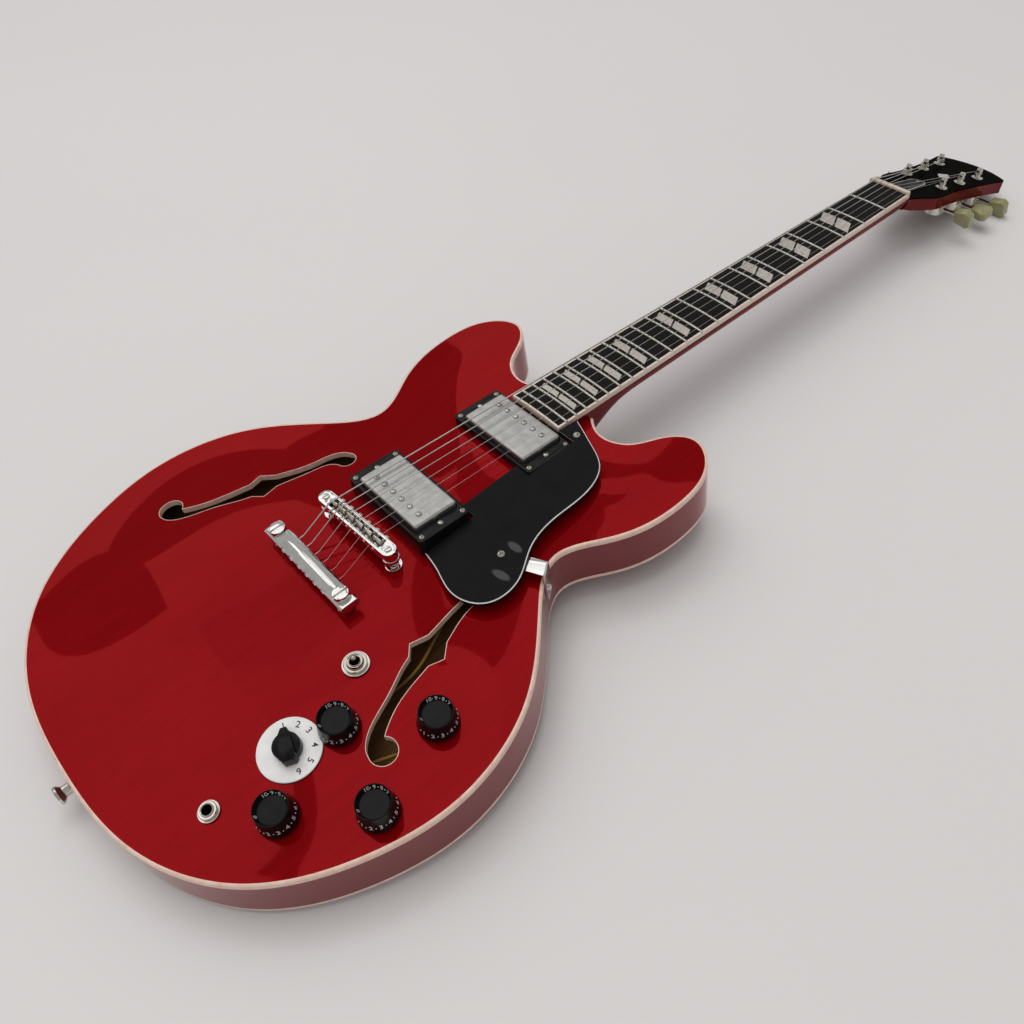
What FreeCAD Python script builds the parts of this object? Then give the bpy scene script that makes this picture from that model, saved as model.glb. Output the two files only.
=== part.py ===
import FreeCAD, Part
import math
import os
import re

# Semi-hollow double-cutaway archtop electric guitar, lying on its back.
# +Y runs to the headstock, +X to the treble side, +Z out of the top.
# The origin lies on the flat of the back, below the bridge end of the scale.

V = FreeCAD.Vector
doc = FreeCAD.newDocument("archtop_guitar")
sheet = doc.addObject("Spreadsheet::Sheet", "Sizes")

SIZES = {
    # fits
    "glue_gap": 0.06, "running_gap": 0.05, "screw_gap": 0.08, "free_gap": 0.3,
    # body
    "body_tail": 254.0, "body_end": 200.5, "lower_bout": 404.0, "waist": 218.0, "upper_bout": 280.0,
    "horn_reach": 237.0, "cutaway_depth": 192.0, "rim_depth": 43.0, "rim_wall": 6.0,
    "plate_thickness": 5.0, "top_arch": 11.0, "back_arch": 9.0, "back_lift": 8.0, "flat_margin": 6.0,
    "arch_run": 125.0, "binding_width": 2.2, "binding_height": 4.2, "block_width": 110.0,
    "hole_binding": 1.3,
    # neck and fretboard
    "scale_length": 628.65, "neck_angle": 4.9, "board_height": 80.2, "board_thickness": 6.0,
    "board_end": 167.0, "board_radius": 305.0, "nut_width": 41.0, "board_end_width": 54.4,
    "board_binding": 1.8, "fret_width": 2.4, "fret_height": 1.1, "inlay_depth": 1.5,
    "inlay_slant": 26.0, "inlay_split": 1.8,
    "nut_thickness": 5.0, "nut_lift": 2.2, "neck_depth": 14.5, "neck_depth_heel": 17.0,
    "heel_depth": 46.0, "tenon_width": 38.0, "tenon_length": 30.0, "tenon_bottom": 26.0,
    "rod_radius": 2.5, "rod_channel": 6.4, "rod_depth": 12.0,
    # headstock and tuners
    "head_angle": 13.4, "head_drop": 6.0, "head_length": 171.0, "head_width": 78.0,
    "head_thickness": 11.5, "veneer_thickness": 1.5, "cover_width": 18.0, "cover_length": 56.0,
    "cover_thickness": 2.0, "tuner_first": 60.5, "tuner_pitch": 34.6, "tuner_spread": 20.2,
    "tuner_flare": 1.0, "post_radius": 3.0, "post_waist": 2.7, "post_height": 11.2,
    "bushing_radius": 4.6, "bushing_flange": 5.8, "flange_height": 1.6, "gear_radius": 5.3,
    "gear_height": 3.0, "worm_radius": 2.6, "worm_length": 8.0, "worm_offset": 8.3, "shaft_radius": 1.9,
    "housing_width": 15.0, "housing_length": 22.0, "housing_height": 12.0, "housing_wall": 1.0,
    "flange_plate": 1.2, "flange_reach": 33.0, "button_length": 17.0, "button_width": 19.0,
    "button_neck": 12.0, "button_thickness": 8.0, "button_reach": 21.0, "axle_drop": 7.6,
    # strings
    "string_spread_bridge": 52.0, "string_spread_nut": 34.5, "string_height": 86.0, "string_turns": 2.0,
    # bridge and tailpiece
    "bridge_line": -3.7, "bridge_skew": 2.3, "stud_spread": 74.0, "bridge_length": 86.0,
    "bridge_width": 11.5, "bridge_height": 8.5, "bridge_top": 81.0, "bridge_trough": 8.0,
    "bridge_floor": 2.5, "saddle_width": 8.6, "saddle_length": 4.4,
    "saddle_screw": 1.1, "stud_radius": 2.5, "wheel_radius": 6.2, "wheel_height": 3.0,
    "stud_bushing": 5.5, "stud_bushing_depth": 18.0, "bushing_lip": 6.4,
    "tail_line": -47.0, "tail_spread": 82.5, "tail_length": 101.0, "tail_width": 14.5,
    "tail_height": 9.5, "tail_bottom": 68.0, "tail_stud_radius": 4.0, "tail_head_radius": 6.0,
    "tail_head_height": 4.5, "string_bore": 1.6, "ball_radius": 1.9,
    # pickups
    "pickup_bridge_line": 41.7, "pickup_neck_line": 142.4, "pickup_bridge_top": 78.0,
    "pickup_neck_top": 68.0, "cover_long": 70.0, "cover_wide": 38.0, "cover_deep": 14.0,
    "cover_wall": 0.8, "cover_round": 2.4, "pole_offset": 8.7, "pole_pitch_bridge": 10.4,
    "pole_pitch_neck": 10.0, "pole_head": 2.3, "pole_shank": 1.5, "ring_long": 91.0, "ring_wide": 45.0,
    "ring_round": 3.0, "ring_drop": 5.0, "ring_screw_long": 82.5, "ring_screw_wide": 37.0,
    "height_screw_spread": 78.6, "height_screw": 1.4, "tab_wide": 12.0, "base_thickness": 1.2,
    # pickguard
    "guard_height": 64.0, "guard_thickness": 3.0, "bracket_thickness": 1.5, "bracket_width": 12.0,
    "bracket_drop": 30.0,
    # controls
    "knob_base": 14.0, "knob_top": 11.2, "knob_height": 15.0, "knob_lift": 2.4, "knob_recess": 8.2,
    "recess_depth": 4.0, "shaft_size": 3.0, "shaft_depth": 12.0, "pot_radius": 12.0, "pot_height": 9.0,
    "pot_thread": 4.6, "pot_nut": 6.6, "pot_nut_height": 2.0, "pot_drop": 9.0, "dial_radius": 21.7,
    "dial_thickness": 1.2, "dial_lift": 0.5, "pointer_radius": 9.2, "pointer_reach": 13.0,
    "pointer_height": 11.0, "pointer_round": 7.0, "toggle_thread": 5.6,
    "toggle_nut": 8.2, "toggle_washer": 9.6,
    "toggle_height": 6.0, "lever_radius": 1.4, "lever_reach": 10.0,
    "jack_bore": 3.25, "jack_thread": 4.8, "jack_nut": 7.0, "jack_washer": 8.4,
    "jack_depth": 24.0, "jack_can": 9.5, "toggle_long": 20.0, "wire_channel": 4.0,
    # strap buttons and wood screws
    "strap_flange": 7.0, "strap_waist": 4.2, "strap_length": 13.0, "strap_height": 30.0,
    "screw_shank": 1.2, "screw_head": 2.2,
}
for row, (alias, number) in enumerate(SIZES.items(), start=1):
    sheet.set(f"A{row}", alias)
    sheet.set(f"B{row}", str(number))
    sheet.setAlias(f"B{row}", alias)
doc.recompute()

FRETS = 22
INLAY_FRETS = (3, 5, 7, 9, 12, 15, 17, 19, 21)
# string diameters from the bass side to the treble side
STRING_DIAMETERS = (1.17, 0.91, 0.66, 0.43, 0.33, 0.25)
# control places on the top, X and Y
KNOB_PLACES = ((113.0, -103.0), (153.0, -54.5), (132.5, -164.0), (173.0, -117.0))
DIAL_PLACE = (102.5, -135.0)
TOGGLE_PLACE = (84.0, -69.0)
JACK_PLACE = (98.5, -194.5)
POINTER_REST = 156.0
nodes = {}


def size(alias):
    return float(sheet.get(alias))


def on_sheet(text):
    return re.sub(r"[a-z_]+", r"Sizes.\g<0>", text)


def bind(obj, **formulas):
    for name, text in formulas.items():
        obj.setExpression(name, on_sheet(text))
    return obj


def at_height(obj, text):
    obj.setExpression("Placement.Base.z", on_sheet(text))
    return obj


def cylinder(name, radius, height, base="0"):
    obj = doc.addObject("Part::Cylinder", name)
    return at_height(bind(obj, Radius=radius, Height=height), base)


def cone(name, lower, upper, height, base="0"):
    obj = doc.addObject("Part::Cone", name)
    return at_height(bind(obj, Radius1=lower, Radius2=upper, Height=height), base)


def block(name, long, wide, high, base="0"):
    obj = doc.addObject("Part::Box", name)
    bind(obj, Length=long, Width=wide, Height=high)
    obj.setExpression("Placement.Base.x", on_sheet(f"-({long}) / 2"))
    obj.setExpression("Placement.Base.y", on_sheet(f"-({wide}) / 2"))
    return at_height(obj, base)


def fuse(name, pieces):
    obj = doc.addObject("Part::MultiFuse", name)
    obj.Shapes = pieces
    obj.Refine = True
    return obj


def cut(name, base, tool):
    obj = doc.addObject("Part::Cut", name)
    obj.Base = base
    obj.Tool = tool
    return obj


def extrude(name, wire, height, base="0"):
    outline = doc.addObject("Part::Feature", name + "_outline")
    outline.Shape = wire
    obj = doc.addObject("Part::Extrusion", name)
    obj.Base = outline
    obj.DirMode = "Custom"
    obj.Dir = V(0, 0, 1)
    obj.Solid = True
    bind(obj, LengthFwd=height)
    return at_height(obj, base)


def feature(name, shape):
    obj = doc.addObject("Part::Feature", name)
    obj.Shape = shape
    return obj


def node(label, obj, place=None):
    obj.Label = label
    if place is not None:
        obj.Placement = place.multiply(obj.Placement)
    nodes[label] = obj
    return obj


def placed(shape, place):
    moved = shape.copy()
    moved.Placement = place.multiply(moved.Placement)
    return moved


def group(label, shapes):
    return node(label, feature(label, Part.makeCompound(shapes)))


def turn(axis, angle, base=V(0, 0, 0)):
    return FreeCAD.Placement(base, FreeCAD.Rotation(axis, angle))


def shift(x, y, z):
    return FreeCAD.Placement(V(x, y, z), FreeCAD.Rotation())


def rod(start, end, radius):
    return Part.makeCylinder(radius, start.distanceToPoint(end), start, end - start)


def box(x0, x1, y0, y1, z0, z1):
    return Part.makeBox(x1 - x0, y1 - y0, z1 - z0, V(x0, y0, z0))


def polygon(points):
    return Part.makePolygon([V(*p) for p in points] + [V(*points[0])])


def smooth(points):
    curve = Part.BSplineCurve()
    curve.interpolate(points)
    return curve


# Body outline, one half from the neck to the tail, as points of a smooth curve
half_lower = size("lower_bout") / 2
half_waist = size("waist") / 2
half_upper = size("upper_bout") / 2
tail = -size("body_tail")
reach = size("horn_reach")
HALF_OUTLINE = [
    V(29.0, size("body_end"), 0), V(51.0, size("cutaway_depth"), 0), V(69.0, 200.0, 0),
    V(85.0, reach - 12, 0), V(103.0, reach, 0), V(half_upper - 12, reach - 13, 0), V(half_upper, 182.0, 0),
    V(127.0, 127.0, 0), V(half_waist, 88.0, 0), V(135.0, 49.5, 0), V(184.5, -9.0, 0),
    V(half_lower, -82.0, 0), V(half_lower - 9, -131.0, 0), V(151.0, tail + 49, 0),
    V(85.0, tail + 10, 0), V(0, tail, 0),
]


def mirrored(points):
    return [V(-p.x, p.y, p.z) for p in points]


outline_curve = smooth(HALF_OUTLINE + mirrored(HALF_OUTLINE[-2::-1]))
EDGE_STEPS = 90


def offset_half(inset):
    first = outline_curve.FirstParameter
    middle = (first + outline_curve.LastParameter) / 2
    points = []
    for i in range(EDGE_STEPS + 1):
        at = first + (middle - first) * i / EDGE_STEPS
        along = outline_curve.tangent(at)[0]
        points.append(outline_curve.value(at) + V(along.y, -along.x, 0) * inset)
    points[-1] = V(0, points[-1].y, 0)
    return points


def body_wire(inset, height):
    curve = outline_curve.copy()
    if inset:
        points = offset_half(inset)
        curve = smooth(points + mirrored(points[-2::-1]))
    close = Part.LineSegment(curve.EndPoint, curve.StartPoint)
    wire = Part.Wire([curve.toShape(), close.toShape()])
    wire.translate(V(0, 0, height))
    return wire


def body_prism(inset, low, high):
    return Part.Face(body_wire(inset, low)).extrude(V(0, 0, high - low))


# Arched plates: the arch rises with a softened distance from the body's edge
edge_points = [(p.x, p.y) for p in offset_half(0)]
edge_z = size("back_lift") + size("rim_depth")
SOFTNESS = 8
EDGE_PIECES = 640
NEAREST = 0.5
STRIP_PULL = math.sqrt(math.pi) * math.gamma((SOFTNESS - 1) / 2) / math.gamma(SOFTNESS / 2)
edge_run = outline_curve.LastParameter - outline_curve.FirstParameter
edge_spots = [outline_curve.value(outline_curve.FirstParameter + edge_run * i / EDGE_PIECES)
              for i in range(EDGE_PIECES + 1)]
edge_pieces = [((a + b) * 0.5, (b - a).Length) for a, b in zip(edge_spots, edge_spots[1:])]


def edge_distance(x, y):
    # every piece of the edge pulls, so that the arch has no ridge where two edges are equally near
    pull = 0.0
    for spot, length in edge_pieces:
        away = max(NEAREST, math.hypot(x - spot.x, y - spot.y))
        pull += length / away ** SOFTNESS
    return (STRIP_PULL / pull) ** (1 / (SOFTNESS - 1))


def inside(x, y):
    crossings = 0
    loop = [(-0.001, tail)] + list(reversed(edge_points)) + [(-0.001, edge_points[0][1])]
    for (ax, ay), (bx, by) in zip(loop, loop[1:] + loop[:1]):
        if (ay > y) != (by > y) and abs(x) < ax + (y - ay) * (bx - ax) / (by - ay):
            crossings += 1
    return crossings % 2 == 1


def arch(x, y):
    if not inside(x, y):
        return 0.0
    rise = (edge_distance(x, y) - size("flat_margin")) / size("arch_run")
    rise = max(0.0, min(1.0, rise))
    return rise * rise * (3 - 2 * rise)


def top_z(x, y):
    return edge_z + size("top_arch") * arch(x, y)


GRID_X = 26
GRID_Y = 32


def arched_face(base, height):
    wide = half_lower + 14
    rows = []
    for i in range(GRID_X + 1):
        x = -wide + 2 * wide * i / GRID_X
        column = []
        for j in range(GRID_Y + 1):
            y = tail - 14 + (reach - tail + 28) * j / GRID_Y
            column.append(V(x, y, base + height * arch(x, y)))
        rows.append(column)
    surface = Part.BSplineSurface()
    surface.interpolate(rows)
    return surface.toShape()


top_face = arched_face(edge_z, size("top_arch"))
back_face = arched_face(size("back_lift"), -size("back_arch"))
DEEP = 90.0
gap = size("glue_gap")
plate = size("plate_thickness")


def slab(face, low, high):
    return placed(face, shift(0, 0, low)).extrude(V(0, 0, high - low))


below_top = slab(top_face, gap - DEEP, gap)
below_plate = slab(top_face, -plate - gap - DEEP, -plate - gap)
above_back = slab(back_face, plate + gap, plate + gap + DEEP)
top_slab = slab(top_face, -plate, 0)


def surface_frame(x, y):
    # frame on the top with its Z axis along the surface's outward normal
    step = 4.0
    slope_x = (top_z(x + step, y) - top_z(x - step, y)) / (2 * step)
    slope_y = (top_z(x, y + step) - top_z(x, y - step)) / (2 * step)
    normal = V(-slope_x, -slope_y, 1).normalize()
    tilt = FreeCAD.Rotation(V(0, 0, 1), normal)
    return FreeCAD.Placement(V(x, y, top_z(x, y)), tilt)


# Frames of the fretboard, the headstock and the bridge
board = turn(V(1, 0, 0), -size("neck_angle"), V(0, 0, size("board_height")))
head = board.multiply(turn(V(1, 0, 0), -size("head_angle"),
                           V(0, size("scale_length") + size("nut_thickness"), -size("head_drop"))))
bridge_frame = turn(V(0, 0, 1), size("bridge_skew"), V(0, size("bridge_line"), 0))
scale = size("scale_length")


def fret_place(number):
    return scale / 2 ** (number / 12)


def board_half(v):
    share = (scale - v) / (scale - size("board_end"))
    return (size("nut_width") + (size("board_end_width") - size("nut_width")) * share) / 2


def tuner_place(index):
    # index 0 to 2 on the bass side from the nut, 3 to 5 on the treble side from the nut
    rank = index % 3
    side = -1 if index < 3 else 1
    across = side * (size("tuner_spread") + size("tuner_flare") * rank)
    return V(across, size("tuner_first") + size("tuner_pitch") * rank, 0)


# Soundholes, on the treble side: two round lobes joined by a curved stem with a nick on each side
HOLE_LOBES = ((V(144.0, -92.0, 0), 9.6), (V(82.5, 36.0, 0), 7.6))
STEM_OUTER = [V(80.5, 43.0, 0), V(91.0, 40.0, 0), V(97.0, 31.0, 0), V(100.0, 15.5, 0), V(105.0, -1.0, 0),
              V(111.5, -16.0, 0), V(116.5, -33.0, 0), V(120.5, -50.0, 0), V(125.5, -66.0, 0),
              V(137.5, -86.5, 0)]
STEM_INNER = [V(146.0, -101.0, 0), V(137.0, -100.0, 0), V(129.5, -93.5, 0), V(122.0, -80.0, 0),
              V(115.5, -65.0, 0), V(108.0, -51.0, 0), V(102.0, -36.0, 0), V(98.5, -20.0, 0),
              V(95.0, -4.0, 0), V(92.0, 11.0, 0),
              V(88.5, 23.0, 0), V(80.5, 29.2, 0)]
HOLE_NICKS = ((V(107.0, -10.0, 0), V(119.7, -23.2, 0), V(116.0, -37.0, 0)),
              (V(107.0, -43.0, 0), V(95.6, -33.0, 0), V(99.5, -14.0, 0)))


def grown_edge(run, grow):
    curve = smooth(run)
    points = []
    count = 3 * len(run)
    for i in range(count + 1):
        at = curve.FirstParameter + (curve.LastParameter - curve.FirstParameter) * i / count
        along = curve.tangent(at)[0]
        points.append(curve.value(at) + V(-along.y, along.x, 0) * grow)
    return smooth(points)


def hole_prism(grow, side):
    base = V(0, 0, edge_z - 20)
    rise = V(0, 0, 60)
    solids = [Part.makeCylinder(radius + grow, rise.z, spot + base) for spot, radius in HOLE_LOBES]
    outer = grown_edge(STEM_OUTER, grow)
    inner = grown_edge(STEM_INNER, grow)
    edges = [outer.toShape(), Part.LineSegment(outer.EndPoint, inner.StartPoint).toShape(), inner.toShape(),
             Part.LineSegment(inner.EndPoint, outer.StartPoint).toShape()]
    outlines = [Part.Wire(edges)]
    for corners in HOLE_NICKS:
        nick = polygon([(c.x, c.y, 0) for c in corners])
        outlines.append(nick.makeOffset2D(grow, 0) if grow else nick)
    for wire in outlines:
        wire.translate(base)
        solids.append(Part.Face(wire).extrude(rise))
    solid = solids[0].fuse(solids[1:]).removeSplitter()
    if side < 0:
        solid = solid.mirror(V(0, 0, 0), V(1, 0, 0))
    return solid


# Places that several pieces share
pickup_frames = []
for line, top in (("pickup_bridge_line", "pickup_bridge_top"), ("pickup_neck_line", "pickup_neck_top")):
    pickup_frames.append(turn(V(1, 0, 0), -size("neck_angle"), V(0, size(line), size(top))))
knob_frames = [surface_frame(x, y) for x, y in KNOB_PLACES]
dial_frame = surface_frame(*DIAL_PLACE)
toggle_frame = surface_frame(*TOGGLE_PLACE)
jack_frame = surface_frame(*JACK_PLACE)
bridge_studs_at = []
for side in (-1, 1):
    bridge_studs_at.append(bridge_frame.multVec(V(side * size("stud_spread") / 2, 0, 0)))
tail_studs_at = [V(side * size("tail_spread") / 2, size("tail_line"), 0) for side in (-1, 1)]

# Ring screws and pickguard screws: place and direction of each head
ring_screws_at = []
for frame in pickup_frames:
    for sx in (-1, 1):
        for sy in (-1, 1):
            place = V(sx * size("ring_screw_long") / 2, sy * size("ring_screw_wide") / 2, -size("ring_drop"))
            ring_screws_at.append(frame.multiply(shift(place.x, place.y, place.z)))
GUARD_SCREW = V(86.9, 56.4, 0)
GUARD_NECK_SCREW = V(42.7, 171.0, 0)
BRACKET_ANGLE = 25.3


def rim_point(start, angle):
    # where a ray in plan leaves the body
    step = V(math.cos(math.radians(angle)), math.sin(math.radians(angle)), 0)
    low, high = 0.0, 120.0
    for _ in range(40):
        middle = (low + high) / 2
        spot = start + step * middle
        if inside(spot.x, spot.y):
            low = middle
        else:
            high = middle
    return low


RING_SCREW_LENGTH = 22.0
NECK_SCREW_LENGTH = 16.0


def screw(length, shank, head_radius):
    # round head above Z = 0, shank below
    head_high = head_radius * 0.7
    ball_radius = (head_radius ** 2 + head_high ** 2) / (2 * head_high)
    dome = Part.makeSphere(ball_radius, V(0, 0, head_high - ball_radius))
    dome = dome.common(Part.makeCylinder(head_radius, head_high * 2))
    slot = box(-0.3, 0.3, -head_radius, head_radius, head_high * 0.55, head_high * 2)
    return dome.cut(slot).fuse(Part.makeCylinder(shank, length, V(0, 0, -length))).removeSplitter()


def screw_hole(length, shank):
    return Part.makeCylinder(shank + size("screw_gap"), length + 0.5, V(0, 0, -length - 0.5))


guard_neck_place = shift(GUARD_NECK_SCREW.x, GUARD_NECK_SCREW.y, size("guard_height"))


# The top: an arched plate with its openings
def pickup_cavity(frame, deep):
    half_long = size("cover_long") / 2 + 1.5
    half_wide = size("cover_wide") / 2 + 1.0
    tab_long = size("height_screw_spread") / 2 + 4.0
    tab_half = size("tab_wide") / 2 + 1.0
    main = box(-half_long, half_long, -half_wide, half_wide, -deep, 12)
    tabs = box(-tab_long, tab_long, -tab_half, tab_half, -deep, 12)
    return placed(main.fuse(tabs), frame)


def tenon_box(grow):
    half = size("tenon_width") / 2 + grow
    start = size("body_end") - size("tenon_length") - grow
    return box(-half, half, start, size("body_end") + 12, size("tenon_bottom") - grow, edge_z + 25)


CAVITY_DEPTH = 34.0
cavities = [pickup_cavity(frame, CAVITY_DEPTH) for frame in pickup_frames]
screw_holes = [placed(screw_hole(RING_SCREW_LENGTH, size("screw_shank")), place) for place in ring_screws_at]
guard_hole = placed(screw_hole(NECK_SCREW_LENGTH, size("screw_shank")), guard_neck_place)


def drill(frame, radius, up=20, down=40):
    return placed(Part.makeCylinder(radius, up + down, V(0, 0, -down)), frame)


control_holes = [drill(f, size("pot_thread") + size("screw_gap")) for f in knob_frames + [dial_frame]]
control_holes.append(drill(toggle_frame, size("toggle_thread") + size("screw_gap")))
control_holes.append(drill(jack_frame, size("jack_thread") + size("screw_gap")))
stud_holes = []
for spot in bridge_studs_at + tail_studs_at:
    bottom = top_z(spot.x, spot.y) - size("stud_bushing_depth") - gap
    stud_holes.append(Part.makeCylinder(size("stud_bushing") + gap, 60, V(spot.x, spot.y, bottom)))

plate_inset = size("binding_width") + gap
top_plate = top_slab.common(body_prism(plate_inset, edge_z - 10, edge_z + 30))
sound_holes = [hole_prism(size("hole_binding") + gap, side) for side in (1, -1)]
top_plate = top_plate.cut(sound_holes + cavities + [tenon_box(gap)] + control_holes + stud_holes
                          + screw_holes + [guard_hole])
node("body_top", feature("body_top", top_plate))

# The back: an arched plate cut flat where it rests
back_slab = back_face.extrude(V(0, 0, plate))
back_plate = back_slab.common(body_prism(plate_inset, 0, size("back_lift") + plate + 2))
node("body_back", feature("body_back", back_plate))

# Bindings along both edges and round the soundholes
binding_high = size("binding_height")
binding_wide = size("binding_width")
back_low = size("back_lift")


def binding_ring(low):
    inner = body_prism(binding_wide, low - 1, low + binding_high + 1)
    return body_prism(0, low, low + binding_high).cut(inner)


binding_solids = [binding_ring(edge_z - binding_high).cut(tenon_box(gap)), binding_ring(back_low)]
for side in (1, -1):
    lining = hole_prism(size("hole_binding"), side).cut(hole_prism(0, side))
    binding_solids.append(lining.common(top_slab))
group("body_bindings", binding_solids)

# The rim: bent sides with a rabbet for each binding and the neck's mortise
rim_low = back_low + plate + gap
rim_high = edge_z - plate - gap
rim_bottom = min(rim_low, back_low + binding_high + gap)
rim_top = max(rim_high, edge_z - binding_high - gap)
rim = body_prism(0, rim_bottom, rim_top).cut(body_prism(size("rim_wall"), rim_bottom - 1, rim_top + 1))
top_seat = body_prism(binding_wide, rim_high, rim_top + 1)
back_seat = body_prism(binding_wide, rim_bottom - 1, rim_low)
rim = rim.cut([top_seat, back_seat])
for low in (edge_z - binding_high - gap, back_low - gap):
    rabbet = body_prism(-1, low, low + binding_high + 2 * gap)
    rim = rim.cut(rabbet.cut(body_prism(binding_wide + gap, low - 1, low + binding_high + 1)))


def rim_angle(spot):
    # direction of the rim's outward normal in plan, near a spot on the treble side
    distances = [math.hypot(spot.x - x, spot.y - y) for x, y in edge_points]
    nearest = min(range(1, EDGE_STEPS), key=lambda i: distances[i])
    ahead = edge_points[nearest + 1]
    behind = edge_points[nearest - 1]
    return math.degrees(math.atan2(ahead[0] - behind[0], behind[1] - ahead[1]))


bracket_frame = turn(V(0, 0, 1), BRACKET_ANGLE, V(GUARD_SCREW.x, GUARD_SCREW.y, 0))
bracket_reach = rim_point(GUARD_SCREW, BRACKET_ANGLE)
leg_spot = bracket_frame.multVec(V(bracket_reach, 0, 0))
leg_frame = turn(V(0, 0, 1), rim_angle(leg_spot), leg_spot)
LEG_GAP = 0.7
LEG_SCREW_LENGTH = 9.0
leg_face = LEG_GAP + size("bracket_thickness")
guard_low = size("guard_height") - size("guard_thickness")
leg_screw_z = guard_low - size("bracket_drop") + 8
leg_screw_place = leg_frame.multiply(turn(V(0, 1, 0), 90, V(leg_face, 0, leg_screw_z)))
strap_tail_place = turn(V(1, 0, 0), 90, V(0, tail, size("strap_height")))
STRAP_SCREW_LENGTH = 20.0
rim = rim.cut([tenon_box(gap), placed(screw_hole(LEG_SCREW_LENGTH, size("screw_shank")), leg_screw_place),
               placed(screw_hole(STRAP_SCREW_LENGTH, 2.0), strap_tail_place)])
node("body_rim", feature("body_rim", rim))

# The centre block, glued between both plates
block_half = size("block_width") / 2
centre = body_prism(size("rim_wall") + gap, 2, edge_z + 20)
block_end = size("body_end") - size("rim_wall") - gap
centre = centre.common(box(-block_half, block_half, tail, block_end, 2, edge_z + 20))
centre = centre.common(below_plate).common(above_back)
WIRE_CHANNELS = []
for frame in pickup_frames:
    WIRE_CHANNELS.append(V(block_half, frame.Base.y, frame.Base.z - CAVITY_DEPTH + 5.0))
channels = [rod(spot + V(2, 0, 0), spot - V(25, 0, 0), size("wire_channel")) for spot in WIRE_CHANNELS]
centre = centre.cut(cavities + channels + [tenon_box(gap)] + stud_holes + screw_holes
                    + [guard_hole, placed(screw_hole(STRAP_SCREW_LENGTH, 2.0), strap_tail_place)])
node("centre_block", feature("centre_block", centre))


# The neck with its headstock, heel and tenon
SECTION_STEPS = 12
SECTION_POWER = 0.85
HEEL_START = 262.0
TONGUE_START = 225.0


def neck_section(v, half, depth):
    top = -size("board_thickness") - gap
    points = []
    for i in range(SECTION_STEPS + 1):
        angle = math.pi * i / SECTION_STEPS
        across = math.copysign(abs(math.cos(angle)) ** SECTION_POWER, math.cos(angle))
        points.append(V(half * across, v, top - depth * math.sin(angle) ** SECTION_POWER))
    points[0] = V(half, v, top)
    points[-1] = V(-half, v, top)
    return Part.Wire([smooth(points).toShape(), Part.LineSegment(points[-1], points[0]).toShape()])


def shaft_depth_at(v):
    share = (scale - v) / (scale - HEEL_START)
    return size("neck_depth") + (size("neck_depth_heel") - size("neck_depth")) * share


nut_end = scale + size("nut_thickness")
shaft_sections = [neck_section(v, board_half(v), shaft_depth_at(v)) for v in (nut_end, HEEL_START)]
shaft = Part.makeLoft(shaft_sections, True, True)
heel_steps = ((HEEL_START, 0.0), (246.0, 0.06), (232.0, 0.3), (220.0, 0.72), (212.0, 0.95), (196.0, 1.0))
heel_sections = []
for v, share in heel_steps:
    deep = size("neck_depth_heel") + (size("heel_depth") - size("neck_depth_heel")) * share
    heel_sections.append(neck_section(v, board_half(v) * (1 - 0.1 * share), deep))
heel = Part.makeLoft(heel_sections, True)
clear_body = box(-80, 80, 100, size("body_end") + gap, -40, 120)
neck_outer = placed(shaft.fuse(heel), board).cut(clear_body)
tongue_low = -size("board_thickness") - gap
board_end = size("board_end")
tongue_ends = [(board_half(board_end) - 1, board_end), (board_half(TONGUE_START) - 1, TONGUE_START)]
tongue_line = [(-x, y) for x, y in tongue_ends] + tongue_ends[::-1]
tongue_face = Part.Face(polygon([(x, y, tongue_low) for x, y in tongue_line]))
tongue = placed(tongue_face.extrude(V(0, 0, -16)), board).cut(below_top)
tenon = tenon_box(0).common(placed(tongue_face.extrude(V(0, 0, -60)), board))
head_half = size("head_width") / 2
HEAD_HALF = [V(size("nut_width") / 2, 0, 0), V(26.2, 19.0, 0), V(head_half - 6.8, 36.0, 0),
             V(head_half - 7.2, 55.0, 0), V(head_half - 6.4, 100.0, 0), V(head_half - 2.3, 140.0, 0),
             V(head_half, size("head_length") - 16, 0)]


def head_wire():
    right = smooth(HEAD_HALF)
    corner = right.EndPoint
    shoulder = V(corner.x - 2.6, size("head_length") - 11.9, 0)
    round_x = corner.x - 0.3
    round_y = size("head_length") - 13.2
    turn_arc = Part.Arc(corner, V(round_x, round_y, 0), shoulder)
    left = right.copy()
    left.mirror(V(0, 0, 0), V(0, 1, 0))
    left_arc = Part.Arc(V(-shoulder.x, shoulder.y, 0), V(-round_x, round_y, 0), left.EndPoint)
    end = Part.Arc(shoulder, V(0, size("head_length"), 0), V(-shoulder.x, shoulder.y, 0))
    left.reverse()
    base = Part.LineSegment(left.EndPoint, right.StartPoint)
    return Part.Wire([c.toShape() for c in (right, turn_arc, end, left_arc, left, base)])


core_high = size("head_thickness")
nut_half = size("nut_width") / 2
veneer = size("veneer_thickness")
core = Part.Face(head_wire()).extrude(V(0, 0, -core_high))
core.translate(V(0, 0, -veneer - gap))
# sections that round the headstock's root: place along it, half width, depth
CARVE_STEPS = ((-3.0, nut_half, 18.2), (3.0, nut_half + 1.5, 18.4), (14.0, nut_half + 10, 24.0),
               (40.0, nut_half + 40, 50.0))
carve = Part.makeLoft([neck_section(along, half, deep) for along, half, deep in CARVE_STEPS], True, True)
carve.translate(V(0, 0, size("board_thickness")))
core = core.common(carve.fuse(box(-90, 90, 38, 200, -60, 10)))
BLEND = 11.0
blend = Part.makeLoft([neck_section(nut_end, nut_half, size("neck_depth")),
                       neck_section(nut_end + BLEND, nut_half, size("neck_depth") + 0.4)], True, True)
above_core = box(-90, 90, -10, 60, -veneer - gap, 40)
blend = placed(blend, board).cut(placed(above_core, head))
post_holes = []
for index in range(6):
    spot = tuner_place(index)
    post_holes.append(Part.makeCylinder(size("bushing_radius") + gap, 60, spot - V(0, 0, 30)))
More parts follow.
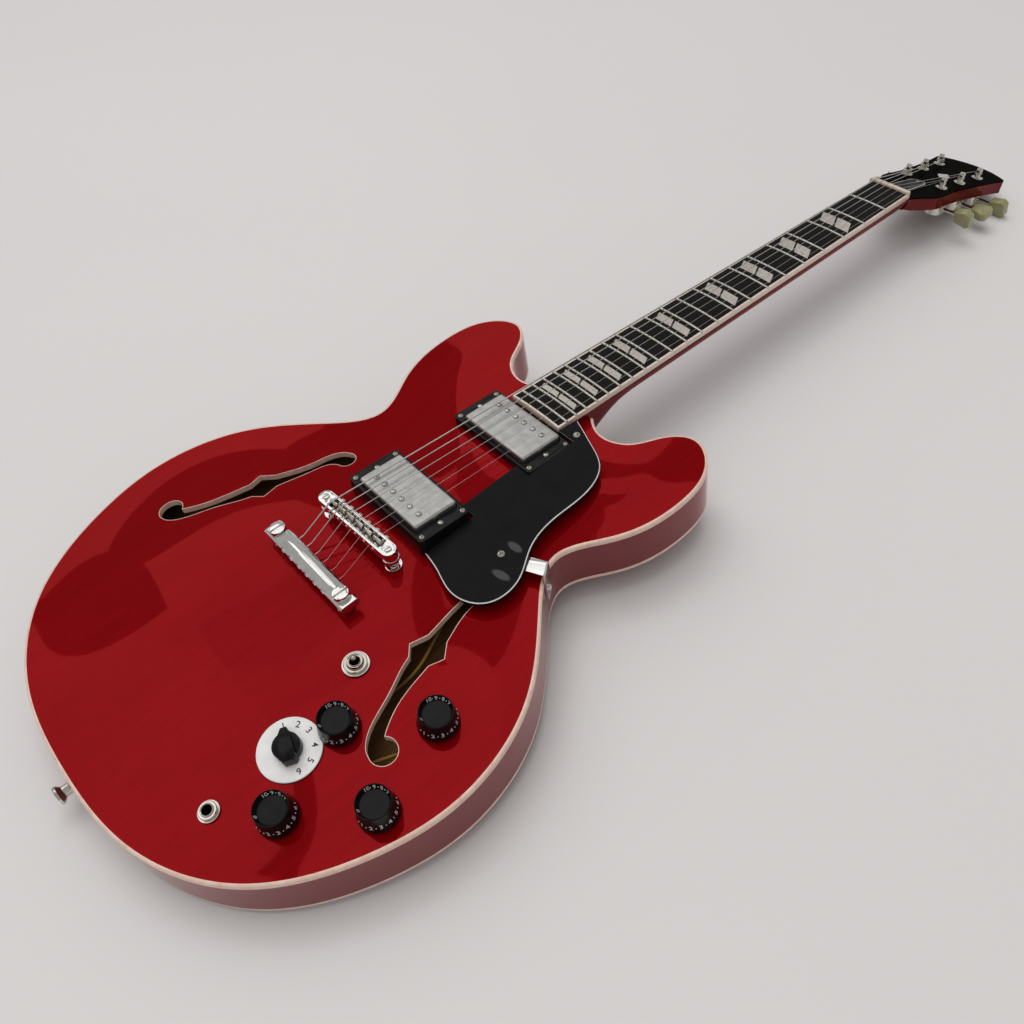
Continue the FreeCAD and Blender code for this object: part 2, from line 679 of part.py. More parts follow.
ROD_POCKET_END = 26.0
rod_pocket = box(-5, 5, -1, ROD_POCKET_END, -9, 5)
neck_body = neck_outer.fuse([tongue, tenon, blend, placed(core, head)])
rod_half = size("rod_channel") / 2
rod_low = -size("rod_depth") - size("rod_radius") - gap
ROD_START = 222.0
channel = box(-rod_half, rod_half, ROD_START, scale + 12, rod_low, -1)
housing_screws = []
tuner_frames = []
for index in range(6):
    spot = tuner_place(index)
    back = V(spot.x, spot.y, -core_high - veneer - gap)
    side = -1 if index < 3 else 1
    tuner_frames.append(head.multiply(turn(V(0, 0, 1), 0 if side > 0 else 180, back)))
    for end in (-1, 1):
        ear = (size("flange_reach") / 2 - 3.0) * end + size("worm_offset") / 2
        place = turn(V(1, 0, 0), 180, V(spot.x, spot.y + ear, back.z - size("flange_plate")))
        housing_screws.append(head.multiply(place))
TUNER_SCREW_LENGTH = 8.0
tuner_holes = [placed(screw_hole(TUNER_SCREW_LENGTH, 0.9), place) for place in housing_screws]
COVER_SCREWS = ((-7.4, 8.0), (7.4, 8.0), (0.0, size("cover_length") - 8.0))
cover_screws = []
for across, along in COVER_SCREWS:
    cover_screws.append(head.multiply(shift(across, along, size("cover_thickness") + 2 * gap)))
COVER_SCREW_LENGTH = 8.0
heel_strap_place = turn(V(1, 0, 0), 180, V(0, size("body_end") + 7.0, 0))
veneer_seat = box(-nut_half - 1, nut_half + 1, -gap, 1, -veneer - gap, 4)
neck_body = neck_body.cut([placed(channel, board), placed(rod_pocket, head), placed(veneer_seat, head)]
                          + [placed(hole, head) for hole in post_holes] + tuner_holes
                          + [placed(screw_hole(COVER_SCREW_LENGTH, 0.9), place) for place in cover_screws])
heel_ray = neck_body.common(rod(V(0, size("body_end") + 7, -30), V(0, size("body_end") + 7, 60), 0.5))
heel_bottom = heel_ray.BoundBox.ZMin
heel_strap_place.Base = V(0, size("body_end") + 7.0, heel_bottom - 0.4)
neck_body = neck_body.cut(placed(screw_hole(STRAP_SCREW_LENGTH, 2.0), heel_strap_place))
node("neck", feature("neck", neck_body))

veneer_plate = Part.Face(head_wire()).extrude(V(0, 0, -veneer)).cut(post_holes + [rod_pocket])
inlay_spot = Part.Face(polygon([(0, 92.0, -0.8), (7.0, 101.0, -0.8), (0, 110.0, -0.8), (-7.0, 101.0, -0.8)]))
lozenge = inlay_spot.extrude(V(0, 0, 0.8))
cover_screw_holes = [Part.makeCylinder(1.0, 20, V(x, y, -10)) for x, y in COVER_SCREWS]
veneer_plate = veneer_plate.cut([lozenge] + cover_screw_holes)
node("headstock_veneer", feature("headstock_veneer", veneer_plate), head)

# Fretboard, cambered along its length, with its binding, inlays and frets
camber = Part.makeCylinder(size("board_radius"), scale + 20, V(0, 0, -size("board_radius")), V(0, 1, 0))


def board_prism(inset, low):
    end = board_end + inset
    end_half = board_half(end) - inset
    nut_end_half = board_half(scale) - inset
    face = Part.Face(polygon([(-end_half, end, low), (end_half, end, low), (nut_end_half, scale, low),
                              (-nut_end_half, scale, low)]))
    return face.extrude(V(0, 0, 20)).common(camber)


def inlay_prisms(number, shrink):
    # a block in the space before its fret, its ends and its split slanted
    near = fret_place(number)
    far = fret_place(number - 1)
    middle = (near + far) / 2
    half_long = (far - near) * 0.235 - shrink
    half_wide = board_half(middle) * 0.72
    lean = math.tan(math.radians(size("inlay_slant")))
    half_split = size("inlay_split") / 2
    prisms = []
    for low, high in ((-half_wide, -half_split), (half_split, half_wide)):
        corners = [(low + shrink, -half_long), (high - shrink, -half_long),
                   (high - shrink, half_long), (low + shrink, half_long)]
        face = Part.Face(polygon([(x - lean * y, middle + y, -size("inlay_depth")) for x, y in corners]))
        prisms.append(face.extrude(V(0, 0, 10)).common(camber))
    return prisms


pockets = []
inlays = []
for number in INLAY_FRETS:
    pockets += inlay_prisms(number, 0.0)
    inlays += inlay_prisms(number, gap)
board_low = -size("board_thickness")
fretboard = board_prism(size("board_binding") + gap, board_low).cut(pockets)
node("fretboard", feature("fretboard", fretboard), board)
board_edge = board_prism(0, board_low).cut(board_prism(size("board_binding"), board_low - 1))
node("fretboard_binding", feature("fretboard_binding", board_edge), board)
group("fret_inlays", [placed(s, board) for s in inlays] + [placed(lozenge, head)])


def fret(number):
    v = fret_place(number)
    half = size("fret_width") / 2
    low = 0.01
    ends = [V(0, v - half, low), V(0, v, size("fret_height")), V(0, v + half, low)]
    section = Part.Face(Part.Wire([Part.Arc(*ends).toShape(), Part.LineSegment(ends[2], ends[0]).toShape()]))
    swing = math.degrees(math.asin((board_half(v) - 0.1) / size("board_radius")))
    section.rotate(V(0, 0, -size("board_radius")), V(0, 1, 0), -swing)
    return section.revolve(V(0, 0, -size("board_radius")), V(0, 1, 0), 2 * swing)


group("frets", [placed(fret(number), board) for number in range(1, FRETS + 1)])


# Strings: their places at the bridge and the nut, in the fretboard's frame at the nut
def string_x(index, spread):
    return spread * (index / 5 - 0.5)


def nut_point(index):
    radius = STRING_DIAMETERS[index] / 2
    x = string_x(index, size("string_spread_nut"))
    sag = size("board_radius") - math.sqrt(size("board_radius") ** 2 - x * x)
    return board.multVec(V(x, scale + size("nut_thickness") / 2, size("fret_height") + 0.6 + radius - sag))


def bridge_point(index):
    # crown of each string over its saddle, following the fretboard's camber
    x = string_x(index, size("string_spread_bridge"))
    sag = size("board_radius") - math.sqrt(size("board_radius") ** 2 - x * x)
    spot = bridge_frame.multVec(V(x, 0, 0))
    return V(spot.x, spot.y, size("string_height") - sag)


SADDLE_BACK = 3.4
TAIL_EXIT = 4.2


def wrap_centre(index):
    # post of each string: bass side from the nut outwards, then treble side from the far end back
    order = (0, 1, 2, 5, 4, 3)
    return order[index]


def biarc(start, along_start, end, along_end):
    chord = end - start
    total = along_start + along_end
    lead = chord.dot(total)
    spare = 2 * (1 - along_start.dot(along_end))
    reach_len = (-lead + math.sqrt(lead * lead + spare * chord.dot(chord))) / spare
    first = start + along_start * reach_len
    second = end - along_end * reach_len
    joint = (first + second) * 0.5
    edges = []
    for a, corner, b in ((start, first, joint), (joint, second, end)):
        middle = (a + b) * 0.5
        half = (b - a).Length / 2
        side = (corner - a).Length
        rise = half * math.sqrt(max(0.0, (side - half) / (side + half)))
        bulge = (corner - middle).normalize() * rise
        edges.append(Part.Arc(a, middle + bulge, b).toShape())
    return edges


def bend(before, corner, after, radius):
    # a tangent arc at a corner between two straight runs, with its two ends
    inward = (before - corner).normalize()
    onward = (after - corner).normalize()
    angle = math.acos(max(-1.0, min(1.0, inward.dot(onward))))
    trim = radius / math.tan(angle / 2)
    a = corner + inward * trim
    b = corner + onward * trim
    bisector = (inward + onward).normalize()
    centre_at = corner + bisector * (radius / math.sin(angle / 2))
    middle = centre_at - bisector * radius
    return a, Part.Arc(a, middle, b).toShape(), b


def tube(edges, start, along, radius):
    profile = Part.Wire([Part.makeCircle(radius, start, along)])
    path = Part.Wire(edges)
    swept = path.makePipeShell([profile], True, False)
    return swept


def string(index):
    radius = STRING_DIAMETERS[index] / 2
    over_nut = nut_point(index)
    over_saddle = bridge_point(index)
    down_neck = (over_nut - over_saddle).normalize()
    crown = over_saddle - down_neck * SADDLE_BACK
    hole_x = string_x(index, size("string_spread_bridge"))
    hole_z = size("tail_bottom") + size("tail_height") * 0.45
    anchor = V(hole_x, size("tail_line") - size("tail_width") / 2 + 5.4, hole_z)
    mouth = V(hole_x, size("tail_line") + size("tail_width") / 2 + TAIL_EXIT, hole_z)
    # headstock end: level run to the post, tangent on its inner side, then the turns
    post_index = wrap_centre(index)
    spot = tuner_place(post_index)
    side = -1 if post_index < 3 else 1
    coil = size("post_waist") + size("free_gap") + radius
    inverse = head.inverse()
    start = inverse.multVec(over_nut)
    flat = V(spot.x - start.x, spot.y - start.y, 0)
    bearing = math.atan2(flat.y, flat.x)
    lean = math.asin(coil / flat.Length)
    heading = bearing + side * lean
    forward = V(math.cos(heading), math.sin(heading), 0)
    touch = V(start.x, start.y, start.z) + forward * math.sqrt(flat.Length ** 2 - coil ** 2)
    pitch = 2 * radius + 0.75
    quarter = math.pi / 2
    phase = math.atan2(touch.y - spot.y, touch.x - spot.x)
    coil_points = []
    coil_along = []
    count = int(round(size("string_turns") * 4))
    for k in range(count + 1):
        angle = phase - side * quarter * k
        drop = pitch * max(0.0, k - 0.5) / 4
        spoke = V(math.cos(angle), math.sin(angle), 0) * coil
        coil_points.append(V(spot.x + spoke.x, spot.y + spoke.y, start.z - drop))
        slope = -pitch / (2 * math.pi * coil) if k else 0.0
        direction = V(side * math.sin(angle), -side * math.cos(angle), slope)
        coil_along.append(direction.normalize())
    tail_end = coil_points[-1] + coil_along[-1] * (4 * radius + 1.2)
    a1, arc1, b1 = bend(anchor, mouth, crown, 5.0)
    a2, arc2, b2 = bend(mouth, crown, over_nut, 2.2)
    touch_world = head.multVec(coil_points[0])
    a3, arc3, b3 = bend(over_saddle, over_nut, touch_world, 9.0)
    edges = [Part.LineSegment(anchor, a1).toShape(), arc1, Part.LineSegment(b1, a2).toShape(), arc2,
             Part.LineSegment(b2, a3).toShape(), arc3, Part.LineSegment(b3, touch_world).toShape()]
    turn_edges = []
    for k in range(count):
        turn_edges += biarc(coil_points[k], coil_along[k], coil_points[k + 1], coil_along[k + 1])
    turn_edges.append(Part.LineSegment(coil_points[-1], tail_end).toShape())
    for edge in turn_edges:
        edges.append(placed(edge, head))
    wire_points = []
    for edge in turn_edges[:-1]:
        wire_points += [edge.valueAt(edge.FirstParameter + (edge.LastParameter - edge.FirstParameter) * s / 6)
                        for s in range(6)]
    least = min((p - q).Length for i, p in enumerate(wire_points) for q in wire_points[i + 24:])
    solid = tube(edges, anchor, mouth - anchor, radius)
    length = sum(edge.Length for edge in edges)
    print(f"string {index + 1}: turns' least gap {least - 2 * radius:.2f} mm,",
          f"volume over section times length {solid.Volume / (math.pi * radius ** 2 * length):.4f}")
    ball = Part.makeSphere(size("ball_radius"), anchor + V(0, size("ball_radius") * 0.2, 0))
    return solid.fuse(ball)


group("strings", [string(index) for index in range(6)])

# The nut, slotted for the strings
nut_top = size("nut_lift")
nut_solid = box(-nut_half, nut_half, scale + gap, nut_end, -size("head_drop") + 0.2, nut_top)
nut_slots = []
for index in range(6):
    radius = STRING_DIAMETERS[index] / 2 + 0.3
    at = board.inverse().multVec(nut_point(index))
    low = at.z - radius
    slot = polygon([(at.x - radius, scale - 2, low), (at.x - radius, scale + 1.0, low),
                    (at.x - radius, nut_end + 2, low - 1.5), (at.x - radius, nut_end + 2, nut_top + 5),
                    (at.x - radius, scale - 2, nut_top + 5)])
    nut_slots.append(Part.Face(slot).extrude(V(2 * radius, 0, 0)))
node("nut", feature("nut", nut_solid.cut(nut_slots)), board)

# Truss rod with its adjusting nut, and the cover over it
rod_line = -size("rod_depth")
rod_solid = rod(V(0, ROD_START + 1, rod_line), V(0, scale + 14, rod_line), size("rod_radius"))
rod_nut = rod(V(0, scale + 9, rod_line), V(0, scale + 17, rod_line), 3.0)
node("truss_rod", feature("truss_rod", rod_solid.fuse(rod_nut)), board)
half_cover = size("cover_width") / 2
cover_end = size("cover_length")
cover_left = V(-half_cover, cover_end - half_cover, 0)
cover_right = V(half_cover, cover_end - half_cover, 0)
cover_arc = Part.Arc(cover_right, V(0, cover_end, 0), cover_left)
cover_line = [cover_left, V(-half_cover - 2, 2.0, 0), V(half_cover + 2, 2.0, 0), cover_right]
cover_edges = [cover_arc.toShape()]
for a, b in zip(cover_line, cover_line[1:]):
    cover_edges.append(Part.LineSegment(a, b).toShape())
cover_outline = Part.Wire(Part.__sortEdges__(cover_edges))
rod_cover = extrude("truss_rod_cover", cover_outline, "cover_thickness", "glue_gap")
cover_tool = feature("cover_holes", Part.makeCompound(cover_screw_holes))
node("truss_rod_cover", cut("truss_rod_cover_drilled", rod_cover, cover_tool), head)

# Bridge with a trough for six sliding saddles
bridge_half = size("bridge_length") / 2
bridge_side = size("bridge_width") / 2
straight = bridge_half - bridge_side
bar_wire = Part.Wire([
    Part.LineSegment(V(-straight, -bridge_side, 0), V(straight, -bridge_side, 0)).toShape(),
    Part.Arc(V(straight, -bridge_side, 0), V(bridge_half, 0, 0), V(straight, bridge_side, 0)).toShape(),
    Part.LineSegment(V(straight, bridge_side, 0), V(-straight, bridge_side, 0)).toShape(),
    Part.Arc(V(-straight, bridge_side, 0), V(-bridge_half, 0, 0), V(-straight, -bridge_side, 0)).toShape(),
])
saddle_pitch = size("string_spread_bridge") / 5
trough_half = saddle_pitch * 3 - 0.4
bar = extrude("bridge_bar", bar_wire, "bridge_height", "bridge_top - bridge_height")
trough = block("bridge_trough", f"{2 * trough_half}", "bridge_trough", "bridge_height",
               "bridge_top - bridge_height + bridge_floor")
screw_line = size("bridge_top") - 3.2
bridge_bores = []
for index in range(6):
    x = string_x(index, size("string_spread_bridge"))
    bridge_bores.append(rod(V(x, -bridge_side - 3, screw_line), V(x, bridge_side + 3, screw_line),
                            size("saddle_screw") + size("screw_gap")))
for side in (-1, 1):
    x = side * size("stud_spread") / 2
    bore_base = V(x, 0, size("bridge_top") - 30)
    bridge_bores.append(Part.makeCylinder(size("stud_radius") + size("screw_gap"), 40, bore_base))
bridge_tools = fuse("bridge_cuts", [trough, feature("bridge_bores", Part.makeCompound(bridge_bores))])
bridge_tools.Refine = False
node("bridge", cut("bridge_body", bar, bridge_tools), bridge_frame)

saddle_low = size("bridge_top") - size("bridge_height") + size("bridge_floor") + 0.1
for index in range(6):
    radius = STRING_DIAMETERS[index] / 2
    crown_z = bridge_point(index).z - radius - size("free_gap") - 0.12
    x = string_x(index, size("string_spread_bridge"))
    half_long = size("saddle_length") / 2
    profile = polygon([(x, -half_long, saddle_low), (x, half_long, saddle_low), (x, half_long, crown_z - 3.0),
                       (x, 0.4, crown_z), (x, -0.4, crown_z), (x, -half_long, crown_z - 3.0)])
    body = Part.Face(profile).extrude(V(size("saddle_width"), 0, 0))
    body.translate(V(-size("saddle_width") / 2, 0, 0))
    bore = rod(V(x, -10, screw_line), V(x, 10, screw_line), size("saddle_screw") + size("running_gap"))
    node(f"saddle_{index + 1}", feature(f"saddle_{index + 1}", body.cut(bore)), bridge_frame)

saddle_screws = []
for index in range(6):
    x = string_x(index, size("string_spread_bridge"))
    shank_start = V(x, -bridge_side - 0.8, screw_line)
    shank = rod(shank_start, V(x, bridge_side + 1.0, screw_line), size("saddle_screw"))
    cap = rod(V(x, bridge_side + 0.1, screw_line), V(x, bridge_side + 2.2, screw_line), 2.0)
    cap = cap.cut(box(x - 0.35, x + 0.35, bridge_side + 1.4, bridge_side + 4, screw_line - 3, screw_line + 3))
    saddle_screws.append(placed(shank.fuse(cap), bridge_frame))
group("saddle_screws", saddle_screws)


# Bridge studs: bushing in the block, threaded stud and thumbwheel
def stud_bushing(spot):
    low = top_z(spot.x, spot.y) - size("stud_bushing_depth")
    sleeve = Part.makeCylinder(size("stud_bushing"), size("stud_bushing_depth") + 0.6, V(spot.x, spot.y, low))
    lip = Part.makeCylinder(size("bushing_lip"), 1.4, V(spot.x, spot.y, top_z(spot.x, spot.y) + 0.6))
    return sleeve.fuse(lip).removeSplitter()


def slotted(solid, spot, top, wide, deep):
    return solid.cut(box(spot.x - 0.6, spot.x + 0.6, spot.y - wide, spot.y + wide, top - deep, top + 1))


bridge_hardware = []
for spot in bridge_studs_at:
    low = top_z(spot.x, spot.y) - 12.0
    top = size("bridge_top") + 0.9
    wheel_top = size("bridge_top") - size("bridge_height") - gap
    stud = Part.makeCylinder(size("stud_radius"), top - low, V(spot.x, spot.y, low))
    wheel_base = V(spot.x, spot.y, wheel_top - size("wheel_height"))
    wheel = Part.makeCylinder(size("wheel_radius"), size("wheel_height"), wheel_base)
    bore = Part.makeCylinder(size("stud_radius") + size("screw_gap"), 60, V(spot.x, spot.y, low - 1))
    bridge_hardware.append(slotted(stud, spot, top, 4, 0.8))
    bridge_hardware.append(wheel.cut(bore))
    bridge_hardware.append(stud_bushing(spot).cut(bore))
group("bridge_studs", bridge_hardware)

# Stop tailpiece: a bar with open ends that hook round two studs, and six string bores
tail_half = size("tail_length") / 2
tail_side = size("tail_width") / 2
tail_low = size("tail_bottom")
tail_high = tail_low + size("tail_height")
line = size("tail_line")
bar_points = [V(-tail_half, line - tail_side, tail_low + 2.0), V(-tail_half, line - tail_side + 2.0, tail_low),
              V(-tail_half, line + tail_side - 1.5, tail_low), V(-tail_half, line + tail_side, tail_low + 2.0),
              V(-tail_half, line + tail_side, tail_high - 4.0), V(-tail_half, line + 2.0, tail_high),
              V(-tail_half, line - 2.0, tail_high), V(-tail_half, line - tail_side, tail_high - 4.0)]
bar_edges = [Part.LineSegment(a, b).toShape() for a, b in zip(bar_points, bar_points[1:] + bar_points[:1])]
bar_edges[5] = Part.Arc(bar_points[5], V(-tail_half, line, tail_high + 0.4), bar_points[6]).toShape()
tail_bar = Part.Face(Part.Wire(bar_edges)).extrude(V(size("tail_length"), 0, 0))
stud_neck = size("tail_stud_radius") - 0.4
ear_high = tail_low + 6.6
tail_cuts = []
for spot in tail_studs_at:
    slot_half = stud_neck + size("free_gap")
    tail_cuts.append(Part.makeCylinder(slot_half, 30, V(spot.x, spot.y, tail_low - 10)))
    slot = box(-slot_half, slot_half, 0, 20, tail_low - 10, tail_high + 10)
    tail_cuts.append(placed(slot, shift(spot.x, spot.y, 0)))
    tail_cuts.append(Part.makeCylinder(size("tail_head_radius") + 0.5, 20, V(spot.x, spot.y, ear_high)))
    outward = 1 if spot.x > 0 else -1
    edge = sorted((spot.x, spot.x + outward * 20))
    tail_cuts.append(box(edge[0], edge[1], line - 20, line + 20, ear_high, tail_high + 10))
string_line = tail_low + size("tail_height") * 0.45
for index in range(6):
    x = string_x(index, size("string_spread_bridge"))
    tail_cuts.append(rod(V(x, line - 20, string_line), V(x, line + 20, string_line), size("string_bore")))
    tail_cuts.append(rod(V(x, line - 20, string_line), V(x, line - tail_side + 5.4 + 2.6, string_line),
                         size("ball_radius") + 0.25))
node("tailpiece", feature("tailpiece", tail_bar.cut(tail_cuts)))

tail_hardware = []
for spot in tail_studs_at:
    low = top_z(spot.x, spot.y) - 14.0
    flange_top = tail_low - gap
    shaft_low = Part.makeCylinder(size("tail_stud_radius"), flange_top - low, V(spot.x, spot.y, low))
    flange = Part.makeCylinder(size("tail_head_radius"), 1.6, V(spot.x, spot.y, flange_top - 1.6))
    waist = Part.makeCylinder(stud_neck, ear_high + 1 - flange_top, V(spot.x, spot.y, flange_top - 0.5))
    head_low = ear_high + gap
    top = head_low + size("tail_head_height")
    crown = Part.makeCylinder(size("tail_head_radius"), size("tail_head_height"), V(spot.x, spot.y, head_low))
    stud = shaft_low.fuse([flange, waist, crown]).removeSplitter()
    bore = Part.makeCylinder(size("tail_stud_radius") + size("screw_gap"), 60, V(spot.x, spot.y, low - 1))
    tail_hardware.append(slotted(stud, spot, top, 10, 1.6))
    tail_hardware.append(stud_bushing(spot).cut(bore))
group("tailpiece_studs", tail_hardware)


# Pickups: cover, coils, base and screws, each in a frame whose origin is the cover's top
def rounded_box(long, wide, low, high, radius):
    solid = box(-long / 2, long / 2, -wide / 2, wide / 2, low, high)
    upright = [e for e in solid.Edges if abs(e.tangentAt(e.FirstParameter).z) > 0.99]
    return solid.makeFillet(radius, upright)


def pickup_cover(poles):
    long, wide, deep = size("cover_long"), size("cover_wide"), size("cover_deep")
    wall = size("cover_wall")
    outer = rounded_box(long, wide, -deep, 0, size("cover_round"))
    rim_edges = [e for e in outer.Edges if abs(e.BoundBox.ZMin) < 1e-6 and abs(e.BoundBox.ZMax) < 1e-6]
    outer = outer.makeFillet(size("cover_round") * 0.8, rim_edges)
    inner = rounded_box(long - 2 * wall, wide - 2 * wall, -deep - 1, -wall, size("cover_round") - wall)
    holes = [Part.makeCylinder(size("pole_head") + 0.1, 4, V(p.x, p.y, -3)) for p in poles]
    return outer.cut([inner] + holes)


BOBBIN_LONG = 66.0
BOBBIN_WIDE = 16.4
BOBBIN_LOW = -9.4
BOBBIN_HIGH = -size("cover_wall") - 0.2
BOBBIN_OFFSET = 9.0
covers = []
bobbins = []
bases = []
pole_screws = []
height_screws = []
rings = []
for number, frame in enumerate(pickup_frames):
    pitch = size("pole_pitch_bridge") if number == 0 else size("pole_pitch_neck")
    row_side = -1 if number == 0 else 1
    row = row_side * size("pole_offset")
    poles = [V(pitch * (k - 2.5), row, 0) for k in range(6)]
    covers.append(placed(pickup_cover(poles), frame))
    for side in (-1, 1):
        spool = box(-BOBBIN_LONG / 2, BOBBIN_LONG / 2, -BOBBIN_WIDE / 2, BOBBIN_WIDE / 2,
                    BOBBIN_LOW, BOBBIN_HIGH)
        spool = placed(spool, shift(0, side * BOBBIN_OFFSET, 0))
        if side == row_side:
            for p in poles:
                head_room = Part.makeCylinder(size("pole_head") + 0.1, 4, V(p.x, p.y, -2.6))
                shank_room = Part.makeCylinder(size("pole_shank") + 0.1, 30, V(p.x, p.y, -20))
                spool = spool.cut([head_room, shank_room])
        bobbins.append(placed(spool, frame))
    base_low = -size("cover_deep")
    base = box(-size("cover_long") / 2 + 1.6, size("cover_long") / 2 - 1.6, -size("cover_wide") / 2 + 1.6,
               size("cover_wide") / 2 - 1.6, base_low, base_low + size("base_thickness"))
    magnet = box(-31, 31, -5, 5, base_low + size("base_thickness"), BOBBIN_LOW - 0.1)
    tab_half = size("height_screw_spread") / 2 + 3.0
    tab_side = size("tab_wide") / 2
    tabs = box(-tab_half, tab_half, -tab_side, tab_side, base_low - size("base_thickness"), base_low)
    screw_bores = [Part.makeCylinder(size("pole_shank") + 0.1, 30, V(p.x, p.y, -28)) for p in poles]
    for side in (-1, 1):
        x = side * size("height_screw_spread") / 2
        screw_bores.append(Part.makeCylinder(size("height_screw") + size("screw_gap"), 30, V(x, 0, -28)))
        top = -size("ring_drop")
        screw_place = frame.multiply(shift(x, 0, top))
        height_screws.append(placed(screw(20.0, size("height_screw"), size("screw_head")), screw_place))
    bases.append(placed(base.fuse([tabs, magnet]).cut(screw_bores), frame))
    for p in poles:
        shank = Part.makeCylinder(size("pole_shank"), 17.4, V(p.x, p.y, -18))
        cap = Part.makeCylinder(size("pole_head"), 1.6, V(p.x, p.y, -1.2))
        cap = cap.cut(box(p.x - 2.4, p.x + 2.4, p.y - 0.3, p.y + 0.3, 0, 1))
        pole_screws.append(placed(shank.fuse(cap), frame))
    ring = rounded_box(size("ring_long"), size("ring_wide"), -34, -size("ring_drop"), size("ring_round"))
    opening = rounded_box(size("cover_long") + 1.2, size("cover_wide") + 1.2, -40, 5, size("cover_round"))
    tab_room = box(-tab_half - 1, tab_half + 1, -size("tab_wide") / 2 - 1, size("tab_wide") / 2 + 1, -40,
                   -size("ring_drop") - 3)
    ring = ring.cut([opening, tab_room] + screw_bores[-2:])
    ring = placed(ring, frame).cut([below_top] + screw_holes)
    rings.append(max(ring.Solids, key=lambda s: s.Volume))
group("pickup_covers", covers)
group("pickup_bobbins", bobbins)
group("pickup_bases", bases)
group("pole_screws", pole_screws)
group("pickup_height_screws", height_screws)
group("pickup_rings", rings)

# Raised pickguard beside the rings and the fretboard, on a bracket at the waist
ring_edge = size("ring_long") / 2 + 0.6
ring_tops = [size("pickup_bridge_line"), size("pickup_neck_line")]
ring_reach = size("ring_wide") / 2 + 1.4
GUARD_INNER = 32.0
GUARD_CURVE = [V(GUARD_INNER + 2, 181.0, 0), V(57.0, 172.5, 0), V(79.0, 161.0, 0), V(90.0, 137.0, 0),
               V(91.0, 103.0, 0),
               V(98.0, 75.0, 0), V(113.5, 49.0, 0), V(111.5, 22.5, 0), V(89.0, 10.7, 0), V(63.0, 16.2, 0)]
guard_corner = V(ring_edge, ring_tops[0] - ring_reach + 1.5, 0)
guard_curve = smooth(GUARD_CURVE + [guard_corner])
guard_steps = [(ring_edge, ring_tops[0] + ring_reach), (GUARD_INNER, ring_tops[0] + ring_reach),
               (GUARD_INNER, ring_tops[1] - ring_reach), (ring_edge, ring_tops[1] - ring_reach),
               (ring_edge, ring_tops[1] + ring_reach), (GUARD_INNER, ring_tops[1] + ring_reach)]
guard_line = [guard_corner] + [V(x, y, 0) for x, y in guard_steps] + [GUARD_CURVE[0]]
guard_edges = [guard_curve.toShape()]
for a, b in zip(guard_line, guard_line[1:]):
    guard_edges.append(Part.LineSegment(a, b).toShape())
guard_base = "guard_height - guard_thickness"
guard_plate = extrude("pickguard_plate", Part.Wire(guard_edges), "guard_thickness", guard_base)
guard_holes = []
for spot in (GUARD_SCREW, GUARD_NECK_SCREW):
    hole_base = V(spot.x, spot.y, guard_low - 5)
    guard_holes.append(Part.makeCylinder(size("screw_shank") + size("screw_gap"), 20, hole_base))
node("pickguard", cut("pickguard", guard_plate, feature("guard_holes", Part.makeCompound(guard_holes))))

arm_thick = size("bracket_thickness")
arm_half = size("bracket_width") / 2
arm_low = guard_low - gap - arm_thick
arm_top = arm_low + arm_thick
arm = box(-6, bracket_reach + 3 * arm_thick + LEG_GAP, -arm_half, arm_half, arm_low, arm_top)
arm = placed(arm, leg_frame.inverse().multiply(bracket_frame)).cut(box(leg_face, 60, -60, 60, 0, 90))
leg = box(leg_face - arm_thick, leg_face, -arm_half, arm_half, guard_low - size("bracket_drop"), arm_top)
bracket = arm.fuse(leg).removeSplitter()
bend_edges = []
for edge in bracket.Edges:
    bounds = edge.BoundBox
    if bounds.XMin > leg_face - 1e-3 and bounds.ZMin > arm_top - 1e-3:
        bend_edges.append(edge)
bracket = bracket.makeFillet(arm_thick * 0.9, bend_edges)
bracket = placed(bracket, leg_frame).cut(
    [placed(screw_hole(14, size("screw_shank")), shift(GUARD_SCREW.x, GUARD_SCREW.y, size("guard_height"))),
     placed(screw_hole(LEG_SCREW_LENGTH, size("screw_shank")), leg_screw_place)])
node("pickguard_bracket", feature("pickguard_bracket", bracket))

# Small screws: rings, pickguard, bracket, rod cover and tuners
ring_screw = screw(RING_SCREW_LENGTH, size("screw_shank"), size("screw_head"))
small_screws = [placed(ring_screw, place) for place in ring_screws_at]
small_screws.append(placed(screw(NECK_SCREW_LENGTH, size("screw_shank"), 3.0), guard_neck_place))
guard_screw_place = shift(GUARD_SCREW.x, GUARD_SCREW.y, size("guard_height"))
small_screws.append(placed(screw(6.0, size("screw_shank"), 3.2), guard_screw_place))
small_screws.append(placed(screw(LEG_SCREW_LENGTH, size("screw_shank"), 2.8), leg_screw_place))
small_screws += [placed(screw(COVER_SCREW_LENGTH, 0.9, 1.8), p) for p in cover_screws]
small_screws += [placed(screw(TUNER_SCREW_LENGTH, 0.9, 1.8), p) for p in housing_screws]
group("small_screws", small_screws)


# Tuners, each in a frame on the back of the headstock, with its key pointing to +X
def stadium(long, wide, low, high):
    half = (long - wide) / 2
    edge = wide / 2
    curves = [Part.LineSegment(V(-edge, -half, low), V(-edge, half, low)),
              Part.Arc(V(-edge, half, low), V(0, half + edge, low), V(edge, half, low)),
              Part.LineSegment(V(edge, half, low), V(edge, -half, low)),
              Part.Arc(V(edge, -half, low), V(0, -half - edge, low), V(-edge, -half, low))]
    return Part.Face(Part.Wire([c.toShape() for c in curves])).extrude(V(0, 0, high - low))


